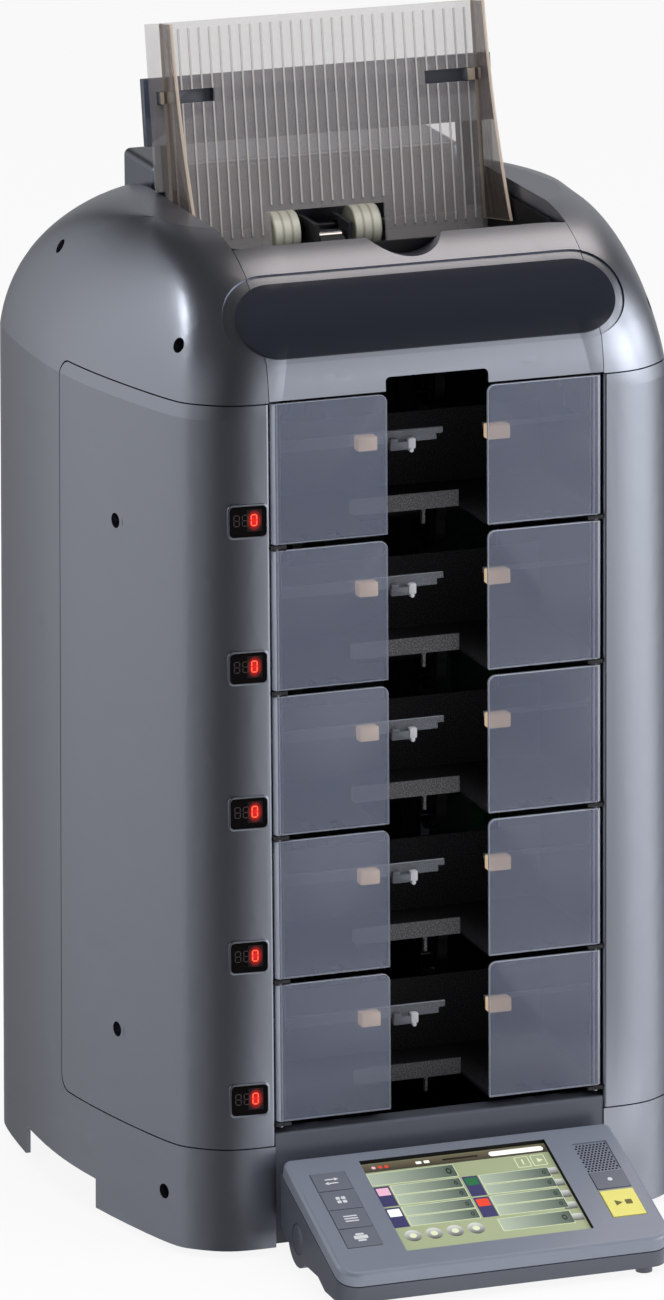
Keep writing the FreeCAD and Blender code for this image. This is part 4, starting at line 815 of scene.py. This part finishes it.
class SORTER_OT_pockets(bpy.types.Operator):
    """Finish the doors, trays, sensors and guide arms"""

    bl_idname = "sorter.pockets"
    bl_label = "Pockets"

    def execute(self, context):
        for k in range(1, POCKETS + 1):
            for hand in ("left", "right"):
                dress("%s_door_%d" % (hand, k), "door", 0.45, [("edge_highlight", self.on_highlit_edge)])
            dress("stacker_%d" % k, "wheel")
        dress("pocket_trays", "black", accents=[("lip", self.on_lip)])
        dress("pocket_sensors", "amber", 0.8)
        # the arms' upper edges carry the same painted edge highlight as the doors
        dress("pocket_guide_arms", "clear", accents=[("edge_highlight", self.on_highlit_top)])
        dress("door_hinge_rods", "steel")
        self.clips()
        return {"FINISHED"}

    def on_highlit_edge(self, spot, facing):
        """Rim of a door, painted pale as the highlight of the light gathered inside the sheet."""
        return abs(facing.y) < 0.95

    def on_highlit_top(self, spot, facing):
        """Upper edge of an arm, painted pale as the highlight of the light gathered inside it."""
        return facing.z > 0.7

    def on_lip(self, spot, facing):
        """Front of the lip at the back of a tray's finger notch."""
        return facing.y < -0.9 and 50 < spot.y - FRONT_PLANE < 70

    def clips(self):
        """Grey bracket and white clip that hold each clear arm."""
        upright = Matrix.Rotation(math.radians(90), 4, "X")
        arm_back, arm_up = 25.4, 45.5
        base = block(11.0, 5.0, 3.0, 0.8, 0.4)
        ear = block(4.5, 2.2, 3.4, 0.6, 0.3)
        clip = block(4.6, 6.4, 3.4, 0.9, 0.5)
        nub = disc(1.3, 4.4, 16, 0.3)
        grey, white = [], []
        for k in range(POCKETS):
            arm = Vector((0, FRONT_PLANE + arm_back, pocket_bottom(k) + arm_up))
            axes = Matrix.Translation(arm * MM) @ upright
            grey += repeat(base, axes, [(-15.0, 0.0, 0.0, 0)])
            grey += repeat(ear, axes, [(-18.0, 3.4, 0.0, 0)])
            white += repeat(clip, axes, [(-7.2, 1.0, 0.2, 0)])
            white += repeat(nub, axes, [(-7.6, -2.8, 0.4, 0)])
        discard(base, ear, clip, nub)
        settle(join(grey), "arm_brackets", "bracket", "chassis")
        settle(join(white), "arm_clips", "clip", "chassis")


class SORTER_OT_hopper(bpy.types.Operator):
    """Finish the hopper, its plate, guides and rollers"""

    bl_idname = "sorter.hopper"
    bl_label = "Hopper"

    def execute(self, context):
        dress("hopper_well", "well")
        # the darkened casing paint stands for the shade on this housing
        dress("hopper_rear_housing", "rear")
        dress("hopper_plate", "hopper", accents=[("rib", self.on_rib)])
        dress("guide_rail", "rail", 0.5)
        guide_accents = [("fin_edge_highlight", self.on_highlit_edge), ("slider", self.on_slider)]
        for hand in ("left", "right"):
            dress(hand + "_note_guide", "fin", 0.3, guide_accents)
        dress("pickup_roller", "cream", accents=[("dark_steel", self.on_shaft)])
        dress("press_roller", "chrome")
        dress("press_roller_yoke", "black")
        self.rib_feet()
        return {"FINISHED"}

    def behind_plate(self, spot):
        """How far a place lies behind the front of the leaning plate."""
        lean = math.radians(PLATE_LEAN)
        way = spot - PLATE_FOOT
        return way.y * math.cos(lean) - way.z * math.sin(lean)

    def on_rib(self, spot, facing):
        """Whatever stands out of the front of the plate."""
        return self.behind_plate(spot) < -0.1

    def on_highlit_edge(self, spot, facing):
        """Rim of a note guide, painted pale as a highlight."""
        return abs(facing.x) < 0.95

    def on_slider(self, spot, facing):
        """The part of a note guide behind the plate."""
        return self.behind_plate(spot) > 1.0

    def on_shaft(self, spot, facing):
        """The pickup roller's shaft, inside its tyres."""
        way = spot - PICKUP_AXIS
        return math.hypot(way.y, way.z) < 6

    def rib_feet(self):
        """Lower ends of the plate's ribs on both sides of the rollers."""
        leaning = Matrix.Rotation(math.radians(90 - PLATE_LEAN), 4, "X")
        axes = Matrix.Translation(PLATE_FOOT * MM) @ leaning
        height, pitch, count, up = 0.9, 6.4, 30, 11.2
        by_rollers = range(9, 21)
        rib = block(1.0, 18.0, height, 0.3, 0.3)
        places = []
        for n in range(count):
            if n not in by_rollers:
                places.append((pitch * (n - (count - 1) / 2), up, height / 2, 0))
        feet = repeat(rib, axes, places)
        discard(rib)
        settle(join(feet), "rib_feet", "rib", "chassis")


class SORTER_OT_inside(bpy.types.Operator):
    """Finish the chassis, the transport and the electrics"""

    bl_idname = "sorter.inside"
    bl_label = "Inside"

    def execute(self, context):
        for node in ("base_plate", "left_frame_plate", "right_frame_plate"):
            dress(node, "sheet")
        dress("tie_bars", "steel")
        dress("base_feet", "rubber")
        dress("transport_belts", "rubber")
        for node in ("upper_transport_shaft", "lower_transport_shaft"):
            dress(node, "steel")
        dress("main_motor", "motor")
        dress("power_supply", "tin")
        dress("main_board", "board")
        dress("power_inlet", "black")
        dress("power_switch", "motor", 0.3)
        return {"FINISHED"}


# Bars of a counter digit: across, up and turn. The last one is the bar in the middle.
DIGIT_BARS = (
    (0, 3.2, 0), (0, -3.2, 0),
    (1.6, 1.6, 90), (-1.6, 1.6, 90), (1.6, -1.6, 90), (-1.6, -1.6, 90),
    (0, 0, 0),
)
DIGIT_UP = 0.6
UNLIT_MIDDLES = (-6.6, -1.6)
LIT_MIDDLE = 3.7
HAZE_WIDTH, HAZE_HEIGHT = 9.0, 13.0


class SORTER_OT_counters(bpy.types.Operator):
    """Lay the digits and rims of the five counter windows"""

    bl_idname = "sorter.counters"
    bl_label = "Counters"

    def execute(self, context):
        dress("display_modules", "window")
        bar = block(2.7, 0.55, 0.12, 0.25, 0.0, 1)
        haze = self.haze_plate()
        rim = self.rim_frame()
        lit, unlit, glow, rims = [], [], [], []
        for k in range(POCKETS):
            axes = counter_axes(k)
            for middle in UNLIT_MIDDLES:
                unlit += repeat(bar, axes, self.digit(middle, 0.05, DIGIT_BARS))
            lit += repeat(bar, axes, self.digit(LIT_MIDDLE, 0.12, DIGIT_BARS[:-1]))
            glow += repeat(haze, axes, [(3.9, 0.4, 0.03, 0)])
            rims += repeat(rim, axes, [(0, 0, 0, 0)])
        discard(bar, haze, rim)
        settle(join(unlit), "unlit_digits", "unlit", "chassis")
        settle(join(lit), "lit_digits", "lit", "chassis")
        settle(join(glow), "digit_haze", "glow", "chassis")
        settle(join(rims), "counter_rims", "casing", "chassis")
        return {"FINISHED"}

    def digit(self, middle, out, bars):
        """Places of a digit's bars on the window."""
        return [(middle + x, DIGIT_UP + up, out, turn) for x, up, turn in bars]

    def haze_plate(self):
        """Thin plate cut fine enough to carry a soft fall-off of light from its middle."""
        deselect()
        bpy.ops.mesh.primitive_grid_add(x_subdivisions=10, y_subdivisions=12, size=1)
        plate = bpy.context.object
        width, height = HAZE_WIDTH * MM, HAZE_HEIGHT * MM
        plate.scale = (width, height, 1)
        apply_place(plate)
        return toned(plate, lambda co: max(0.0, 1 - 2 * math.hypot(co.x / width, co.y / height)))

    def rim_frame(self):
        """Rounded frame round one window, with a soft crest."""
        outer = block(24.4, 20.6, 1.6, 3.4, 0.5, 6)
        opening = block(22.0, 18.2, 6.0, 2.6, 0.0, 6)
        return carve(outer, opening)


# Places on the operator panel, in millimetres across, up its face and out of it.
# The four keys on the left stand one below the other.
KEYS_ACROSS, KEYS_UP, KEYS_PITCH = -80.5, -25.8, -18.0
KEYS_OUT = 0.62
CLEAR_KEY = (83.2, -54.2)
START_UP = -76.8
SPEAKER = (83.25, -31.0, -0.95)
SCREEN_OUT = -3.0
SCREEN_MIDDLE = -53.0
# Printed marks and the inks of the picture are this thick
PRINT = 0.12
INK = 0.06

# Title bar of the screen picture: finish, across, width, height and corner
TITLE_UP = 39.2
TITLE_CHIPS = (
    ("chip_red", -46, 2.6, 2.6, 1.2),
    ("chip_red", -42, 2.6, 2.6, 1.2),
    ("chip_mauve", -50, 2.6, 2.6, 1.2),
    ("chip_pale", -22, 3.4, 2.4, 0.3),
    ("chip_pale", -17, 3.4, 2.4, 0.3),
    ("screen_dark", 4, 22.0, 1.6, 0.3),
    ("chip_pale", 39, 34.0, 4.4, 2.0),
)
# The four kinds of note: across, up and chip of colour
NOTE_KINDS = (
    (-29.5, 11.6, "chip_mauve"),
    (-29.5, -8.8, "chip_pale"),
    (25.5, 11.6, "chip_green"),
    (25.5, -8.8, "chip_red"),
)


class SORTER_OT_panel(bpy.types.Operator):
    """Finish the operator panel, its keys, speaker and screen picture"""

    bl_idname = "sorter.panel"
    bl_label = "Operator panel"

    def execute(self, context):
        dress("panel_housing", "panel")
        # the walls round the sunk screen are painted black as their shade
        dress("panel_bezel", "bezel", accents=[("hole", self.shaded_screen_walls)])
        dress("panel_pivot_pins", "panel", 0.4)
        dress("touchscreen", "screen")
        for node in ("change_key", "mode_key", "menu_key", "print_key", "clear_key"):
            dress(node, "key", 0.3)
        dress("start_stop_key", "start")
        self.key_marks()
        self.speaker()
        self.picture()
        return {"FINISHED"}

    def shaded_screen_walls(self, spot, facing):
        """Walls of the opening that the screen looks through, painted black as the shade in its recess."""
        place = PANEL_AXES.inverted() @ (spot * MM) / MM
        return abs(place.x) < 58.1 and -96.6 < place.y < -9.4 and place.z < -0.1

    def mark(self, node, pieces, finish="mark"):
        """Settle the printed mark of a key on that key."""
        name = node + "_mark"
        settle(join(pieces), name, finish, node + "_cap")

    def key_marks(self):
        """Plain pictures printed on the keys."""
        self.change_mark(KEYS_UP)
        self.mode_mark(KEYS_UP + KEYS_PITCH)
        self.menu_mark(KEYS_UP + 2 * KEYS_PITCH)
        self.print_mark(KEYS_UP + 3 * KEYS_PITCH)
        ring = hollowed(disc(1.5, PRINT, 24), 0.45, 0.05)
        self.mark("clear_key", repeat(ring, PANEL_AXES, [(*CLEAR_KEY, KEYS_OUT, 0)]))
        play = arrow_head(3.0, PRINT)
        stop = block(4.2, 4.2, PRINT, 0.4)
        signs = repeat(play, PANEL_AXES, [(80.0, START_UP, KEYS_OUT, 0)])
        signs += repeat(stop, PANEL_AXES, [(86.8, START_UP, KEYS_OUT, 0)])
        self.mark("start_stop_key", signs, "dark_mark")
        discard(ring, play, stop)

    def on_key(self, across, up, turn=0):
        """Place on the keys on the left, from their middle line."""
        return (KEYS_ACROSS + across, up, KEYS_OUT, turn)

    def change_mark(self, up):
        """Two arrows that pass each other."""
        head = arrow_head(1.7, PRINT)
        shaft = block(5.6, 0.9, PRINT, 0.2)
        apart = 1.8
        shafts = [self.on_key(-0.8, up + apart), self.on_key(0.8, up - apart)]
        heads = [self.on_key(3.0, up + apart), self.on_key(-3.0, up - apart, 180)]
        self.mark("change_key", repeat(shaft, PANEL_AXES, shafts) + repeat(head, PANEL_AXES, heads))
        discard(head, shaft)

    def mode_mark(self, up):
        """Four squares."""
        square = block(2.5, 2.5, PRINT, 0.5)
        steps = (-1.7, 1.7)
        places = [self.on_key(across, up + rise) for across in steps for rise in steps]
        self.mark("mode_key", repeat(square, PANEL_AXES, places))
        discard(square)

    def menu_mark(self, up):
        """Three bars."""
        bar = block(8.4, 1.0, PRINT, 0.4)
        places = [self.on_key(0, up + rise) for rise in (-2.3, 0, 2.3)]
        self.mark("menu_key", repeat(bar, PANEL_AXES, places))
        discard(bar)

    def print_mark(self, up):
        """A printer with its sheet above and below."""
        body = hollowed(block(8.4, 3.2, PRINT, 0.5), 0.9, 0.05)
        sheet = block(5.0, 1.5, PRINT, 0.2)
        printer = repeat(body, PANEL_AXES, [self.on_key(0, up)])
        printer += repeat(sheet, PANEL_AXES, [self.on_key(0, up + rise) for rise in (-2.9, 2.9)])
        self.mark("print_key", printer)
        discard(body, sheet)

    def speaker(self):
        """Rows of small holes in the speaker's square."""
        hole = hollowed(disc(0.72, 0.16, 10), 0.14, 0.1)
        columns, rows, step = 9, 12, 2.2
        across, up, out = SPEAKER
        places = []
        for row in range(rows):
            shift = step / 4 if row % 2 else -step / 4
            for column in range(columns):
                x = across + (column - (columns - 1) / 2) * step + shift
                places.append((x, up + (row - (rows - 1) / 2) * step, out, 0))
        holes = repeat(hole, PANEL_AXES, places)
        discard(hole)
        settle(join(holes), "speaker_holes", "hole", "operator_panel")

    def picture(self):
        """The lit picture: title bar, fields with noughts, chips and buttons, all plain."""
        self.layers = {}
        self.tile("screen_title", 0, TITLE_UP, 115.6, 7.8, 1, toned_down=True)
        for finish, x, width, height, round_mm in TITLE_CHIPS:
            self.tile(finish, x, TITLE_UP, width, height, 2, round_mm)
        # sum of all notes
        self.field(-29.5, 28.2, 54.0, 11.6, 1)
        self.nought(-7.0, 28.2, 1.9)
        for x in (39.5, 49.5):
            self.tile("screen_line", x, 28.4, 8.6, 10.0, 1, 0.6)
            self.tile("screen", x, 28.4, 7.6, 9.0, 2, 0.4)
        self.lay("screen_line", arrow_head(2.4, INK), 49.8, 28.4, 3)
        self.tile("screen_line", 39.5, 28.4, 0.9, 5.0, 3, 0.2)
        # four kinds of note, each with its chip of colour and two counts
        for x, up, chip in NOTE_KINDS:
            self.tile("screen_navy", x - 22.2, up, 9.6, 19.0, 1, 0.4)
            self.tile(chip, x - 22.2, up + 4.4, 7.6, 7.0, 2, 0.3)
            for step in (4.9, -4.9):
                self.field(x + 5.0, up + step, 43.4, 9.2, 1)
                self.nought(x + 23.0, up + step, 1.2)
        # count of refused notes, and the buttons
        self.field(28.5, -27.0, 45.0, 12.0, 1)
        self.nought(46.0, -27.0, 1.7)
        for x in (-48.0, -35.0, -22.0, -9.0):
            self.button(x, -27.0)
        for n in range(5):
            self.tile("screen_button", 53.2, 17.0 - 11.2 * n, 8.2, 6.4, 1, 0.8, toned_down=True)
        for finish, pieces in self.layers.items():
            name = "picture_" + finish
            settle(join(pieces), name, finish, "operator_panel")

    def lay(self, finish, thing, x, up, layer):
        """Seat a piece of the picture, one layer of ink above the last."""
        out = SCREEN_OUT + 0.05 * layer
        self.layers.setdefault(finish, []).append(seat(thing, PANEL_AXES, x, SCREEN_MIDDLE + up, out))

    def tile(self, finish, x, up, width, height, layer, round_mm=0.2, toned_down=False):
        """Flat patch of ink, which may darken towards its lower edge."""
        tile = block(width, height, INK, round_mm)
        if toned_down:
            half = height * MM / 2
            toned(tile, lambda co: 0.5 + co.y / half / 2)
        self.lay(finish, tile, x, up, layer)

    def field(self, x, up, width, height, layer):
        """Sunk field that darkens towards its right-hand end."""
        half = width * MM / 2
        self.tile("screen_line", x, up, width, height, layer, 0.5)
        inner = toned(block(width - 0.8, height - 0.8, INK, 0.4), lambda co: 0.5 - co.x / half / 2)
        self.lay("screen_field", inner, x, up, layer + 1)

    def nought(self, x, up, size):
        """A nought drawn as a tall ring."""
        deselect()
        bpy.ops.mesh.primitive_torus_add(
            major_segments=20, minor_segments=6, major_radius=size * MM, minor_radius=0.28 * size * MM
        )
        ring = bpy.context.object
        ring.scale = (0.72, 1.15, 0.05)
        apply_place(ring)
        self.lay("screen_dark", ring, x, up, 3.5)

    def button(self, x, up):
        """Round button with a light top and a small plain mark."""
        radius = 5.2
        face = toned(disc(radius, INK, 32), lambda co: 0.5 + co.y / (2 * radius * MM))
        self.lay("screen_button", face, x, up, 1)
        self.lay("screen_line", hollowed(disc(2.2, INK, 20), 0.8, INK / 2), x, up, 2)


class SORTER_PT_steps(bpy.types.Panel):
    """Steps that dress the banknote sorter"""

    bl_idname = "SORTER_PT_steps"
    bl_label = "Note sorter"
    bl_space_type = "VIEW_3D"
    bl_region_type = "UI"
    bl_category = "Note sorter"

    def draw(self, context):
        for step in STEPS:
            self.layout.operator(step.bl_idname)
        for group in (context.scene.sorter_view, context.scene.sorter_colours):
            for key in group.__annotations__:
                self.layout.prop(group, key)


STEPS = (
    SORTER_OT_housing,
    SORTER_OT_pockets,
    SORTER_OT_hopper,
    SORTER_OT_inside,
    SORTER_OT_counters,
    SORTER_OT_panel,
    SORTER_OT_stage,
)
CLASSES = (SorterView, SorterColours, *STEPS, SORTER_PT_steps)


def register():
    for cls in CLASSES:
        bpy.utils.register_class(cls)
    bpy.types.Scene.sorter_view = PointerProperty(type=SorterView)
    bpy.types.Scene.sorter_colours = PointerProperty(type=SorterColours)


def unregister():
    del bpy.types.Scene.sorter_view
    del bpy.types.Scene.sorter_colours
    for cls in reversed(CLASSES):
        bpy.utils.unregister_class(cls)


def main():
    register()
    KIT.update(make_materials())
    bpy.ops.sorter.housing()
    bpy.ops.sorter.pockets()
    bpy.ops.sorter.hopper()
    bpy.ops.sorter.inside()
    bpy.ops.sorter.counters()
    bpy.ops.sorter.panel()
    bpy.ops.sorter.stage()


if __name__ == "__main__":
    main()
